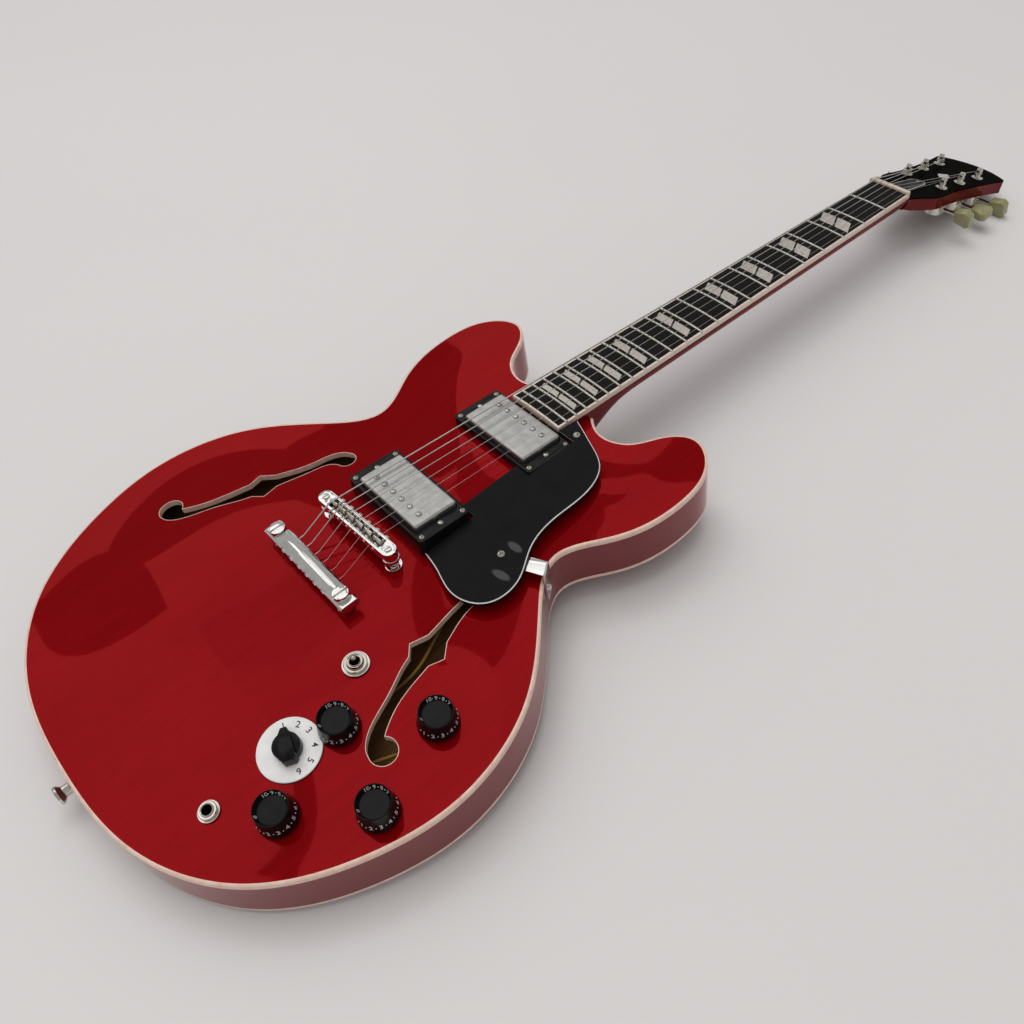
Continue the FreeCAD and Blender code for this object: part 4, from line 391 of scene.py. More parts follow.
def smoothCopy(node, piece, material, body, slot, angle=30, bevel=0.0):
    weld, flat = 0.002 * mm, math.radians(0.5)
    mesh = nodes[node].data.copy()
    mesh.name = piece
    for name in ("custom_normal", "UVMap"):
        if name in mesh.attributes:
            mesh.attributes.remove(mesh.attributes[name])

    def merge(bm):
        bmesh.ops.remove_doubles(bm, verts=bm.verts, dist=weld)
        if bevel:
            bmesh.ops.dissolve_limit(bm, angle_limit=flat, verts=bm.verts, edges=bm.edges)

    editMesh(mesh, merge)
    mesh.materials.clear()
    mesh.materials.append(material)
    mesh.polygons.foreach_set("material_index", [0] * len(mesh.polygons))
    obj = newObject(piece, mesh)
    if bevel:
        softenEdges(obj, bevel)
    shade(obj.data, angle)
    return own(obj, body, slot, node)


def splineThrough(points, step):  # a smooth cubic through the points, as in the part's source
    p = np.array(points, float)
    h = np.linalg.norm(np.diff(p, axis=0), axis=1)
    count = len(p)
    chord = np.diff(p, axis=0) / h[:, None]
    system = np.eye(count)
    rest = np.zeros_like(p)
    for i in range(1, count - 1):
        system[i, i - 1:i + 2] = h[i], 2 * (h[i - 1] + h[i]), h[i - 1]
        rest[i] = 3 * (h[i] * chord[i - 1] + h[i - 1] * chord[i])
    rest[0] = chord[0] + (chord[0] - chord[1]) * h[0] / (h[0] + h[1])
    rest[-1] = chord[-1] + (chord[-1] - chord[-2]) * h[-1] / (h[-1] + h[-2])
    slope = np.linalg.solve(system, rest)
    run = []
    for i in range(count - 1):
        pieces = max(2, int(math.ceil(h[i] / step)))
        t = (np.arange(pieces) / pieces)[:, None]
        run.append((1 + 2 * t) * (1 - t) ** 2 * p[i] + t * (1 - t) ** 2 * h[i] * slope[i]
                   + t * t * (3 - 2 * t) * p[i + 1] + t * t * (t - 1) * h[i] * slope[i + 1])
    return np.vstack(run + [p[-1:]])


def leftOf(along):  # unit normals to the left of these directions
    along = along / np.linalg.norm(along, axis=1)[:, None]
    return np.stack([-along[:, 1], along[:, 0]], axis=1)


def sidesOf(line):  # the same for an open line of points
    return leftOf(np.gradient(line, axis=0))


# body shape, in mm
body = {"lift": 8.0, "rimDepth": 43.0, "arch": 11.0, "backArch": 9.0, "margin": 6.0, "run": 125.0,
        "plate": 5.0, "bindingWidth": 2.2, "bindingHeight": 4.2, "bindingRound": 1.5, "rimWall": 6.0,
        "inset": 2.25, "joint": 0.03, "grid": 6.0, "gridEnds": (-198, 199, -252, 236), "softness": 8,
        "half": [(29, 200.5), (51, 192), (69, 200), (85, 225), (103, 237), (128, 224), (140, 182),
                 (127, 127), (109, 88), (135, 49.5), (184.5, -9), (202, -82), (193, -131), (151, -205),
                 (85, -244), (0, -254)]}
edgeTop = body["lift"] + body["rimDepth"]
loop = body["half"] + [(-x, y) for x, y in body["half"][-2::-1]]
outline = splineThrough(loop, 4.0)
inward = -sidesOf(outline)  # the outline runs clockwise from the neck over the treble side
edgeSamples = splineThrough(loop, 2.5)
edgeLengths = np.linalg.norm(np.gradient(edgeSamples, axis=0), axis=1)


def archShare(spots):  # 0 at the edge to 1 in the middle, by a soft distance from the edge
    spots = np.atleast_2d(np.array(spots, float))
    power = body["softness"]
    strip = math.sqrt(math.pi) * math.gamma((power - 1) / 2) / math.gamma(power / 2)
    batch, closest = 2000, 0.5
    shares = []
    for start in range(0, len(spots), batch):
        gap = np.linalg.norm(spots[start:start + batch, None, :] - edgeSamples[None, :, :], axis=2)
        pull = (edgeLengths[None, :] / np.maximum(gap, closest) ** power).sum(axis=1)
        rise = ((strip / pull) ** (1 / (power - 1)) - body["margin"]) / body["run"]
        rise = np.clip(rise, 0, 1)
        shares.append(rise * rise * (3 - 2 * rise))
    return np.concatenate(shares)


def topHeight(spots):
    return edgeTop + body["arch"] * archShare(spots)


def surfaceFrame(x, y):  # frame on the top, its Z along the surface's normal
    step = 4.0
    around = [(x + step, y), (x - step, y), (x, y + step), (x, y - step), (x, y)]
    east, west, north, south, here = topHeight(around)
    normal = Vector((-(east - west) / (2 * step), -(north - south) / (2 * step), 1)).normalized()
    tilt = Vector((0, 0, 1)).rotation_difference(normal).to_matrix().to_4x4()
    return Matrix.Translation((x, y, here)) @ tilt


# frames of the fretboard, the headstock and the pickups: places in mm, tilts in degrees
neck = {"board": (0, 0, 80.2), "boardTilt": -4.9, "head": (0, 633.65, -6.0), "headTilt": -13.4}
pickups = {"spots": [(0, 41.7, 78.0), (0, 142.4, 68.0)], "tilt": -4.9, "cavity": (36.5, 20),
           "ringScrews": (41.25, 18.5, -5), "liftScrews": (39.3, 0, -5), "poles": [(-8.7, 10.4), (8.7, 10.0)],
           "poleHeight": 0.25}


def pitched(degrees):
    return Matrix.Rotation(math.radians(degrees), 4, "X")


boardFrame = Matrix.Translation(neck["board"]) @ pitched(neck["boardTilt"])
headFrame = boardFrame @ Matrix.Translation(neck["head"]) @ pitched(neck["headTilt"])
pickupFrames = [Matrix.Translation(spot) @ pitched(pickups["tilt"]) for spot in pickups["spots"]]


# sound holes: two round lobes, a curved stem and a pointed nick on each side; treble side in mm
soundHole = {"lining": 0.45, "step": 2.0, "lobes": [((144, -92), 9.6), ((82.5, 36), 7.6)],
             "outer": [(80.5, 43), (91, 40), (97, 31), (100, 15.5), (105, -1), (111.5, -16), (116.5, -33),
                       (120.5, -50), (125.5, -66), (137.5, -86.5)],
             "inner": [(146, -101), (137, -100), (129.5, -93.5), (122, -80), (115.5, -65), (108, -51),
                       (102, -36), (98.5, -20), (95, -4), (92, 11), (88.5, 23), (80.5, 29.2)],
             "nicks": [((107, -10), (119.7, -23.2), (116, -37)), ((107, -43), (95.6, -33), (99.5, -14))]}


def grownTriangle(corners, grow):  # each side moved out by the growth
    c = np.array(corners, float)
    middle = c.mean(axis=0)
    lines = []
    for a, b in zip(c, np.roll(c, -1, axis=0)):
        normal = np.array([b[1] - a[1], a[0] - b[0]])
        normal /= np.linalg.norm(normal)
        if normal @ (a - middle) < 0:
            normal = -normal
        lines.append((normal, normal @ a + grow))
    return [np.linalg.solve(np.array([lines[i - 1][0], lines[i][0]]), [lines[i - 1][1], lines[i][1]])
            for i in range(3)]


def holeOutlines(grow, side):  # overlapping outlines whose union is one sound hole
    outlines = [circle(centre, radius + grow) for centre, radius in soundHole["lobes"]]
    stem = []
    for run in (soundHole["outer"], soundHole["inner"]):
        line = splineThrough(run, soundHole["step"])
        stem += list(line + sidesOf(line) * grow)
    outlines.append(stem)
    outlines += [grownTriangle(nick, grow) for nick in soundHole["nicks"]]
    return [[(side * x, y) for x, y in shape] for shape in outlines]


def anticlockwise(shape):
    xy = np.array(shape, float)
    after = np.roll(xy, -1, axis=0)
    area = (xy[:, 0] * after[:, 1] - after[:, 0] * xy[:, 1]).sum()
    return xy if area > 0 else xy[::-1]


def triangulated(solid, holes=[], extra=[]):  # faces of the solid outlines outside every hole outline
    points, faces = [], []
    for shape in solid + holes:
        faces.append(list(range(len(points), len(points) + len(shape))))
        points += [Vector((float(x), float(y))) for x, y in anticlockwise(shape)]
    points += [Vector((float(x), float(y))) for x, y in extra]
    insideOnly, tolerance = 1, 1e-5
    outPoints, _, outFaces, _, _, sources = delaunay_2d_cdt(points, [], faces, insideOnly, tolerance)
    kept = [face for face, source in zip(outFaces, sources)
            if source and all(s < len(solid) for s in source)]
    used = sorted({i for face in kept for i in face})
    index = {old: new for new, old in enumerate(used)}
    plan = [(outPoints[i].x, outPoints[i].y) for i in used]
    turnedFaces = []
    for a, b, c in ((index[i] for i in face) for face in kept):
        area = ((plan[b][0] - plan[a][0]) * (plan[c][1] - plan[a][1])
                - (plan[c][0] - plan[a][0]) * (plan[b][1] - plan[a][1]))
        turnedFaces.append((a, b, c) if area > 0 else (a, c, b))
    return plan, turnedFaces


def plateBetween(plan, faces, low, high, slots=(0, 0, 0)):  # closed; slots of upper, lower and wall faces
    count = len(plan)
    points = [(x, y, z) for level in (high, low) for (x, y), z in zip(plan, level)]
    lower = [(a + count, c + count, b + count) for a, b, c in faces]
    edges = dict.fromkeys(pair for a, b, c in faces for pair in ((a, b), (b, c), (c, a)))
    walls = [(b, a, a + count, b + count) for a, b in edges if (b, a) not in edges]
    groups = (faces, lower, walls)
    return points, sum(groups, []), [slot for slot, group in zip(slots, groups) for _ in group]


def gridPoints(step):
    left, right, low, high = body["gridEnds"]
    xs = np.arange(left, right, step)
    ys = np.arange(low, high, step)
    grid = np.array([(x + (j % 2) * step / 2, y) for j, y in enumerate(ys) for x in xs])
    gap = np.linalg.norm(grid[:, None, :] - edgeSamples[None, ::2, :], axis=2).min(axis=1)
    return grid[gap > step * 0.7]


# openings in the top: places of the controls and studs, and the radius of each bore
controls = {"knobs": [(113, -103), (153, -54.5), (132.5, -164), (173, -117)], "dial": (102.5, -135),
            "toggle": (84, -69), "jack": (98.5, -194.5),
            "studs": [(-37, -5.2), (37, -2.2), (-41.25, -47), (41.25, -47)]}
bores = {"knob": 4.7, "toggle": 5.7, "jack": 4.9, "stud": 5.6, "steps": 16}
tenon = (-19.1, 19.1, 170.4, 212)


def topOpenings():
    shapes = [shape for side in (1, -1) for shape in holeOutlines(soundHole["lining"] + body["joint"], side)]
    spots = [(spot, "knob") for spot in controls["knobs"] + [controls["dial"]]]
    spots += [(controls["toggle"], "toggle"), (controls["jack"], "jack")]
    spots += [(spot, "stud") for spot in controls["studs"]]
    shapes += [circle(spot, bores[kind], bores["steps"]) for spot, kind in spots]
    wide, tall = pickups["cavity"]
    shapes += [rectangle(-wide, wide, y - tall, y + tall) for x, y, z in pickups["spots"]]
    return shapes + [rectangle(*tenon)]


def bodyPlates():
    extra = gridPoints(body["grid"])
    inset = [list(outline + inward * body["inset"])]
    plan, faces = triangulated(inset, topOpenings(), extra)
    high = topHeight(plan)
    sheet = plateBetween(plan, faces, high - body["plate"], high, (0, 1, 1))
    top = makePiece("archedTop", [sheet], [cherry, maple], angle=50)
    own(top, "guitar", "cherry_lacquer", "body_top")
    plan, faces = triangulated(inset, [], extra)
    shell = body["lift"] - body["backArch"] * archShare(plan)
    low = np.maximum(0.0, shell)
    sheet = plateBetween(plan, faces, low, np.maximum(shell + body["plate"], low + 1.0), (1, 0, 1))
    back = makePiece("archedBack", [sheet], [cherry, maple], angle=50)
    own(back, "guitar", "cherry_lacquer", "body_back")


def sweptSection(section):  # a closed section of (inset, height) swept along the body's outline
    points = []
    for depth, height in section:
        points += [(x, y, height) for x, y in outline + inward * depth]
    count = len(outline)
    size = len(section)
    faces = []
    for k in range(size):
        here, there = k * count, (k + 1) % size * count
        faces += [(here + i, here + i + 1, there + i + 1, there + i) for i in range(count - 1)]
    faces.append(tuple(k * count for k in range(size)))
    faces.append(tuple(k * count + count - 1 for k in range(size - 1, -1, -1)))
    return points, faces


def bodySides():
    wall, tall, wide = body["rimWall"], body["bindingHeight"], body["bindingWidth"]
    low = body["lift"] + tall + body["joint"]
    high = edgeTop - tall - body["joint"]
    points, faces = sweptSection([(0, low), (0, high), (wall, high), (wall, low)])
    outer = len(outline) - 1  # the first strip of faces is the outside
    slots = [0] * outer + [1] * (len(faces) - outer)
    rim = makePiece("bentRim", [(points, faces, slots)], [cherryRim, maple], tidy=True)
    own(rim, "guitar", "cherry_lacquer", "body_rim")
    rounding = body["bindingRound"]
    arc = [(rounding - rounding * math.sin(a), rounding * math.cos(a) - rounding)
           for a in (math.pi / 2 * k / 4 for k in range(4, -1, -1))]
    parts = []
    for flip, level in ((1, edgeTop), (-1, body["lift"])):
        section = [(0, level - flip * tall)] + [(d, level + flip * z) for d, z in arc]
        section += [(wide, level), (wide, level - flip * tall)]
        parts.append((*sweptSection(section), 0))
    for side in (1, -1):
        plan, faces = triangulated(holeOutlines(soundHole["lining"], side), holeOutlines(0, side))
        level = topHeight(plan)
        parts.append(plateBetween(plan, faces, level - body["plate"], level))
    bindings = makePiece("bodyBindings", parts, [bodyCream], tidy=True, angle=40)
    own(bindings, "guitar", "cream_binding", "body_bindings")


bodyPlates()
bodySides()
print("body built")


# geometry node helpers
def newTree(name, sockets):  # sockets: name -> socket type; geometry goes in and out
    tree = bpy.data.node_groups.new(name, "GeometryNodeTree")
    tree.is_modifier = True
    tree.interface.new_socket("Geometry", in_out="INPUT", socket_type="NodeSocketGeometry")
    for socket, kind in sockets.items():
        tree.interface.new_socket(socket, in_out="INPUT", socket_type="NodeSocket" + kind)
    tree.interface.new_socket("Geometry", in_out="OUTPUT", socket_type="NodeSocketGeometry")
    out = addNode(tree, "NodeGroupOutput").inputs["Geometry"]
    return tree, addNode(tree, "NodeGroupInput").outputs, out


def closeTree(tree, geometry, material, out):
    whole = addNode(tree, "GeometryNodeRealizeInstances", {"Geometry": geometry})
    dressed = addNode(tree, "GeometryNodeSetMaterial", {"Geometry": whole, "Material": material})
    tree.links.new(dressed.outputs[0], out)


def runTree(obj, tree, values):
    modifier = obj.modifiers.new("repeat", "NODES")
    modifier.node_group = tree
    for item in tree.interface.items_tree:
        if item.in_out == "INPUT" and item.name in values:
            modifier[item.identifier] = values[item.name]
    bakeModifiers(obj)
    return obj


def attribute(tree, name, kind="FLOAT"):
    return addNode(tree, "GeometryNodeInputNamedAttribute", {"Name": name}, data_type=kind)


def combine(tree, **axes):
    return addNode(tree, "ShaderNodeCombineXYZ", axes)


def shifted(tree, geometry, **inputs):
    return addNode(tree, "GeometryNodeTransform", {"Geometry": geometry, **inputs})


def scattered(tree, points, shape, **inputs):
    return addNode(tree, "GeometryNodeInstanceOnPoints", {"Points": points, "Instance": shape, **inputs})


def pointCloud(name, places, **columns):  # a vertex for each matrix in mm, with its turn and columns in mm
    mesh = bpy.data.meshes.new(name)
    mesh.from_pydata([place.translation * mm for place in places], [], [])
    turns = mesh.attributes.new("turn", "FLOAT_VECTOR", "POINT")
    for i, place in enumerate(places):
        turns.data[i].vector = place.to_euler()
    for key, values in columns.items():
        column = mesh.attributes.new(key, "FLOAT", "POINT")
        column.data.foreach_set("value", [v * mm for v in values])
    return newObject(name, mesh)


# screws: a domed head with a slot or a cross cut in it, on a plain shank
def screwTree():
    tree, given, out = newTree("screws", {
        "Slot width": "Float", "Slot length": "Float", "Cross length": "Float", "Dome": "Float",
        "Seed": "Int", "Metal": "Material"})
    points, dome = given["Geometry"], given["Dome"]
    ball = addNode(tree, "GeometryNodeMeshUVSphere", {"Segments": 28, "Rings": 14, "Radius": 1.0})
    cap = shifted(tree, ball, Scale=combine(tree, X=1.0, Y=1.0, Z=dome))
    head = addNode(tree, "GeometryNodeMeshBoolean", {"Mesh 1": cap}, operation="DIFFERENCE")
    for long, wide in (("Slot length", "Slot width"), ("Slot width", "Cross length")):
        size = combine(tree, X=given[long], Y=given[wide], Z=dome)
        bar = addNode(tree, "GeometryNodeMeshCube", {"Size": size})
        cut = shifted(tree, bar, Translation=combine(tree, Z=dome))
        tree.links.new(cut.outputs[0], head.inputs["Mesh 2"])
    turn = attribute(tree, "turn", "FLOAT_VECTOR")
    heads = scattered(tree, points, head, Rotation=turn, Scale=attribute(tree, "wide"))
    inputs = {2: 0.0, 3: math.pi, "Seed": given["Seed"]}
    spin = addNode(tree, "FunctionNodeRandomValue", inputs, data_type="FLOAT").outputs[1]
    inputs = {"Instances": heads, "Rotation": combine(tree, Z=spin)}
    spun = addNode(tree, "GeometryNodeRotateInstances", inputs)
    rod = addNode(tree, "GeometryNodeMeshCylinder", {"Vertices": 16, "Radius": 1.0, "Depth": 1.0})
    sunk = shifted(tree, rod, Translation=(0, 0, -0.5))
    thick = attribute(tree, "thick")
    size = combine(tree, X=thick, Y=thick, Z=attribute(tree, "deep"))
    shanks = scattered(tree, points, sunk, Rotation=turn, Scale=size)
    both = addNode(tree, "GeometryNodeJoinGeometry")
    for part in (spun, shanks):
        tree.links.new(part.outputs[0], both.inputs[0])
    closeTree(tree, both, given["Metal"], out)
    return tree


screwHeads = screwTree()
crossHead = {"Slot width": 0.3, "Slot length": 1.25, "Cross length": 1.25, "Dome": 0.62, "Seed": 4}
slotHead = {"Slot width": 0.3, "Slot length": 2.4, "Cross length": 0.3, "Dome": 0.4, "Seed": 11}
# head radius, shank radius and shank length of each kind, in mm
screws = {"ring": (2.2, 1.2, 22), "guardEnd": (3.0, 1.2, 16), "guardMiddle": (3.2, 1.2, 6),
          "bracket": (2.8, 1.2, 9), "head": (1.8, 0.9, 8), "pole": (2.3, 1.5, 16), "lift": (2.2, 1.4, 20)}


def addScrews(name, spots, shape, replaced):  # spots: (place, kind)
    places = [place for place, kind in spots]
    wide, thick, deep = zip(*(screws[kind] for place, kind in spots))
    obj = pointCloud(name, places, wide=wide, thick=thick, deep=deep)
    runTree(obj, screwHeads, {**shape, "Metal": nickel})
    shade(obj.data, 35)
    own(obj, "guitar", "steel", replaced)


def at(base, x, y, z):
    return base @ Matrix.Translation((x, y, z))


# where the bracket's leg stands on the rim: leaving point of a ray from the pickguard's middle screw
bracket = {"angle": 25.3, "reach": 60, "step": 0.1, "legFace": 2.2, "screwHeight": 39.0}
guardScrews = {"end": (42.7, 171.0, 64.0), "middle": (86.9, 56.4, 64.0)}


def rimLeg():
    angle = math.radians(bracket["angle"])
    steps = np.arange(0, bracket["reach"], bracket["step"])[:, None]
    run = steps * np.array([math.cos(angle), math.sin(angle)]) + np.array(guardScrews["middle"][:2])
    nearest = np.linalg.norm(run[:, None, :] - outline[None, :, :], axis=2).argmin(axis=1)
    depth = ((run - outline[nearest]) * inward[nearest]).sum(axis=1)
    leave = int(np.argmax(depth <= 0))
    out = -inward[nearest[leave]]
    spot = run[leave] + out * bracket["legFace"]
    facing = Vector((out[0], out[1], 0)).to_track_quat("Z", "Y").to_matrix().to_4x4()
    return Matrix.Translation((spot[0], spot[1], bracket["screwHeight"])) @ facing


tuners = {"first": 60.5, "pitch": 34.6, "spread": 20.2, "flare": 1.0, "worm": 8.3, "ear": 13.5,
          "plate": 1.2, "back": 13.06, "reach": 21.05}
rodCover = {"half": 9.0, "flare": 2.0, "start": 2.0, "end": 56.0, "screws": [(-7.4, 8), (7.4, 8), (0, 48)],
            "screwHeight": 2.12, "levels": [(1.5, 2.08, 1), (0.85, 2.0, 0), (0.0, 1.3, 0), (0.0, 0.06, 0)]}


def tunerSpot(index):
    rank = index % 3
    side = -1 if index < 3 else 1
    return side * (tuners["spread"] + tuners["flare"] * rank), tuners["first"] + tuners["pitch"] * rank


def allScrews():
    x, y, z = pickups["ringScrews"]
    small = [(at(seat, sx * x, sy * y, z), "ring")
             for seat in pickupFrames for sx in (-1, 1) for sy in (-1, 1)]
    small.append((Matrix.Translation(guardScrews["end"]), "guardEnd"))
    small.append((Matrix.Translation(guardScrews["middle"]), "guardMiddle"))
    small.append((rimLeg(), "bracket"))
    small += [(at(headFrame, x, y, rodCover["screwHeight"]), "head") for x, y in rodCover["screws"]]
    flip = Matrix.Rotation(math.pi, 4, "X")
    low = -tuners["back"] - tuners["plate"]
    for index in range(6):
        x, y = tunerSpot(index)
        for end in (-1, 1):
            place = at(headFrame, x, y + end * tuners["ear"] + tuners["worm"] / 2, low) @ flip
            small.append((place, "head"))
    addScrews("smallScrews", small, crossHead, "small_screws")
    poles = []
    for seat, (row, pitch) in zip(pickupFrames, pickups["poles"]):
        poles += [(at(seat, pitch * (k - 2.5), row, pickups["poleHeight"]), "pole") for k in range(6)]
    addScrews("poleScrews", poles, slotHead, "pole_screws")
    x, y, z = pickups["liftScrews"]
    lifts = [(at(seat, side * x, y, z), "lift") for seat in pickupFrames for side in (-1, 1)]
    addScrews("heightScrews", lifts, slotHead, "pickup_height_screws")


allScrews()


# frets: bars of round wire bent to the fretboard's camber
frets = {"scale": 628.65, "count": 22, "radius": 1.2, "sink": 0.1, "camber": 305.0, "nut": 20.5,
         "end": 27.2, "endAt": 167.0, "short": 0.1}


def fretTree():
    tree, given, out = newTree("frets", {
        "Wire radius": "Float", "Sink": "Float", "Camber": "Float", "Lift": "Float", "Tilt": "Float",
        "Wire": "Material"})
    line = addNode(tree, "GeometryNodeCurvePrimitiveLine", {"Start": (-1, 0, 0), "End": (1, 0, 0)})
    steps = addNode(tree, "GeometryNodeResampleCurve", {"Curve": line, "Count": 25})
    inputs = {"Resolution": 14, "Radius": given["Wire radius"]}
    ring = addNode(tree, "GeometryNodeCurvePrimitiveCircle", inputs)
    inputs = {"Curve": steps, "Profile Curve": ring, "Fill Caps": True}
    bar = addNode(tree, "GeometryNodeCurveToMesh", inputs)
    size = combine(tree, X=attribute(tree, "half"), Y=1.0, Z=1.0)
    bars = scattered(tree, given["Geometry"], bar, Scale=size)
    whole = addNode(tree, "GeometryNodeRealizeInstances", {"Geometry": bars})
    spot = addNode(tree, "ShaderNodeSeparateXYZ", {0: addNode(tree, "GeometryNodeInputPosition")})
    across = spot.outputs["X"]
    sag = calculate(tree, "DIVIDE", calculate(tree, "MULTIPLY", across, across), given["Camber"])
    drop = combine(tree, Z=calculate(tree, "MULTIPLY_ADD", sag, -0.5, given["Sink"]))
    bent = addNode(tree, "GeometryNodeSetPosition", {"Geometry": whole, "Offset": drop})
    lift, tilt = combine(tree, Z=given["Lift"]), combine(tree, X=given["Tilt"])
    closeTree(tree, shifted(tree, bent, Translation=lift, Rotation=tilt), given["Wire"], out)
    return tree


def addFrets():
    scale, nut = frets["scale"], frets["nut"]
    spots = [scale / 2 ** (n / 12) for n in range(1, frets["count"] + 1)]
    widening = (frets["end"] - nut) / (scale - frets["endAt"])
    halves = [nut + widening * (scale - v) - frets["short"] for v in spots]
    obj = pointCloud("fretSet", [Matrix.Translation((0, v, 0)) for v in spots], half=halves)
    runTree(obj, fretTree(), {"Wire radius": frets["radius"] * mm, "Sink": -frets["sink"] * mm,
                              "Camber": frets["camber"] * mm, "Lift": boardFrame.translation.z * mm,
                              "Tilt": boardFrame.to_euler().x, "Wire": fretWire})
    shade(obj.data, 40)
    own(obj, "guitar", "fret_wire", "frets")


addFrets()
print("screws and frets repeated")


# printed figures, as flat meshes set just off the surface they mark
figure = {"capShare": 0.7, "weight": 0.015, "curveSteps": 4}


def takenMesh(obj):  # points and faces of an object that was only a means
    mesh = evaluated(obj)
    part = [tuple(v.co) for v in mesh.vertices], [tuple(p.vertices) for p in mesh.polygons], 0
    bpy.data.objects.remove(obj)
    bpy.data.meshes.remove(mesh)
    return part


def numeral(text, height):
    curve = bpy.data.curves.new("numeral", "FONT")
    curve.body = text
    curve.size = height / figure["capShare"]
    curve.align_x = "CENTER"
    curve.align_y = "CENTER"
    curve.resolution_u = figure["curveSteps"]
    curve.offset = figure["weight"] * height
    part = takenMesh(newObject("numeral", curve))
    bpy.data.curves.remove(curve)
    return part


def facingPlace(spot, up, normal):  # text frame: X to the reader's right, Y up, Z out of the surface
    up, normal = Vector(up).normalized(), Vector(normal).normalized()
    right = up.cross(normal)
    return Matrix.Translation(spot) @ Matrix((right, up, normal)).transposed().to_4x4()


# tick dots between a knob's figures
def tickTree():
    tree, given, out = newTree("ticks", {"Dot": "Float", "Ink": "Material"})
    dot = addNode(tree, "GeometryNodeMeshIcoSphere", {"Radius": given["Dot"], "Subdivisions": 2})
    closeTree(tree, scattered(tree, given["Geometry"], dot), given["Ink"], out)
    return tree


# skirt and dish: radius, height and size of their figures, then up and outward as (out, up)
knobs = {"profile": [(0, -12), (3, -12), (3, 6.4), (8.2, 6.4), (8.2, 2.4), (13.6, 2.4), (13.95, 2.7),
                     (13.9, 3.4), (12.75, 9), (11.75, 15.6), (11.5, 17.1), (11.2, 17.4), (10.9, 17.3),
                     (9.3, 13.7), (9.0, 13.5), (0, 13.5)],
         "skirt": (12.87, 8.4, 3.6, (-1.15, 5.6), (5.6, 1.15)),
         "dish": (10.0, 15.3, 2.9, (1.6, 3.6), (-3.6, 1.6)),
         "figures": 11, "onSkirt": range(1, 7), "printLift": 0.12, "firstAngle": -105.5, "step": 27.5,
         "tickRings": [(12.95, 8.2, 0, 7), (10.0, 15.2, 7, 10)], "tickSize": 0.38}


def tickDots():
    spots = []
    for radius, height, first, last in knobs["tickRings"]:
        for k in range(first, last):
            out = ray(knobs["firstAngle"] + (k + 0.5) * knobs["step"])
            spots.append(out * radius + Vector((0, 0, height)))
    mesh = bpy.data.meshes.new("ticks")
    mesh.from_pydata(spots, [], [])
    dots = newObject("ticks", mesh)
    return takenMesh(runTree(dots, tickTree(), {"Dot": knobs["tickSize"], "Ink": printWhite}))


def addKnobs():
    printed = [tickDots()]
    for k in range(knobs["figures"]):
        out = ray(knobs["firstAngle"] + k * knobs["step"])
        wall = "skirt" if k in knobs["onSkirt"] else "dish"  # the first and last show inside the dish
        radius, height, size, up, normal = knobs[wall]
        lift = Vector((out.x * up[0], out.y * up[0], up[1]))
        away = Vector((out.x * normal[0], out.y * normal[0], normal[1])).normalized()
        spot = out * radius + Vector((0, 0, height)) + away * knobs["printLift"]
        printed.append(moved(numeral(str(k), size), facingPlace(spot, lift, away)))
    for k, spot in enumerate(controls["knobs"], start=1):
        seat = surfaceFrame(*spot)
        knob = makePiece(f"controlKnob{k}", [turned(knobs["profile"], 72)], [knobBlack], seat, 28)
        own(knob, f"knob_{k}", "black_plastic", f"control_knob_{k}")
        figures = makePiece(f"knobFigures{k}", printed, [printWhite], seat)
        own(figures, f"knob_{k}", "dial_white")


dial = {"bore": 4.7, "radius": 21.7, "low": 0.5, "high": 1.7, "foot": 0.3, "edge": 0.4, "printLift": 0.05,
        "figureRadius": 16.5, "figureSize": 4.4, "angles": [158.8, 124.9, 94.5, 56.2, 20.6, -12.4]}


def addDial():
    seat = surfaceFrame(*controls["dial"])
    bore, r, low, high = dial["bore"], dial["radius"], dial["low"], dial["high"]
    foot, edge = dial["foot"], dial["edge"]
    profile = [(bore, low), (r - foot, low), (r, low + foot), (r, high - edge), (r - edge, high),
               (bore, high), (bore, low)]
    disc = makePiece("selectorDial", [turned(profile, 96)], [dialWhite], seat, 30)
    own(disc, "guitar", "dial_white", "selector_dial")
    parts = []
    for k, degrees in enumerate(dial["angles"], start=1):
        out = ray(degrees)
        spot = out * dial["figureRadius"] + Vector((0, 0, high + dial["printLift"]))
        parts.append(moved(numeral(str(k), dial["figureSize"]), facingPlace(spot, out, (0, 0, 1))))
    figures = makePiece("dialFigures", parts, [printBlack], seat)
    own(figures, "guitar", "black_plastic")


addKnobs()
addDial()
print("knobs and dial printed")


# laminated plates: a black sheet whose sloped edge shows a white ply; the loop runs anticlockwise and
# each level has its inset, its height and the slot of the strip below it
def plyPlate(name, loop, shares, levels, place, materials):
    xy = np.array(loop, float)
    into = leftOf(np.roll(xy, -1, axis=0) - np.roll(xy, 1, axis=0)) * np.array(shares)[:, None]
    rings = [xy + into * depth for depth, height, slot in levels]
    heights = [height for depth, height, slot in levels]
    count = len(xy)
    faces = [(i, count + i, count + (i + 1) % count, (i + 1) % count) for i in range(count)]
    parts = []
    for k, (depth, height, slot) in enumerate(levels[:-1]):
        parts.append(([(x, y, heights[n]) for n in (k, k + 1) for x, y in rings[n]], faces, slot))
    for k, turn in ((0, 1), (-1, -1)):
        plan, flat = triangulated([list(rings[k])])
        parts.append(([(x, y, heights[k]) for x, y in plan], [face[::turn] for face in flat], 0))
    return makePiece(name, parts, materials, place, 25)


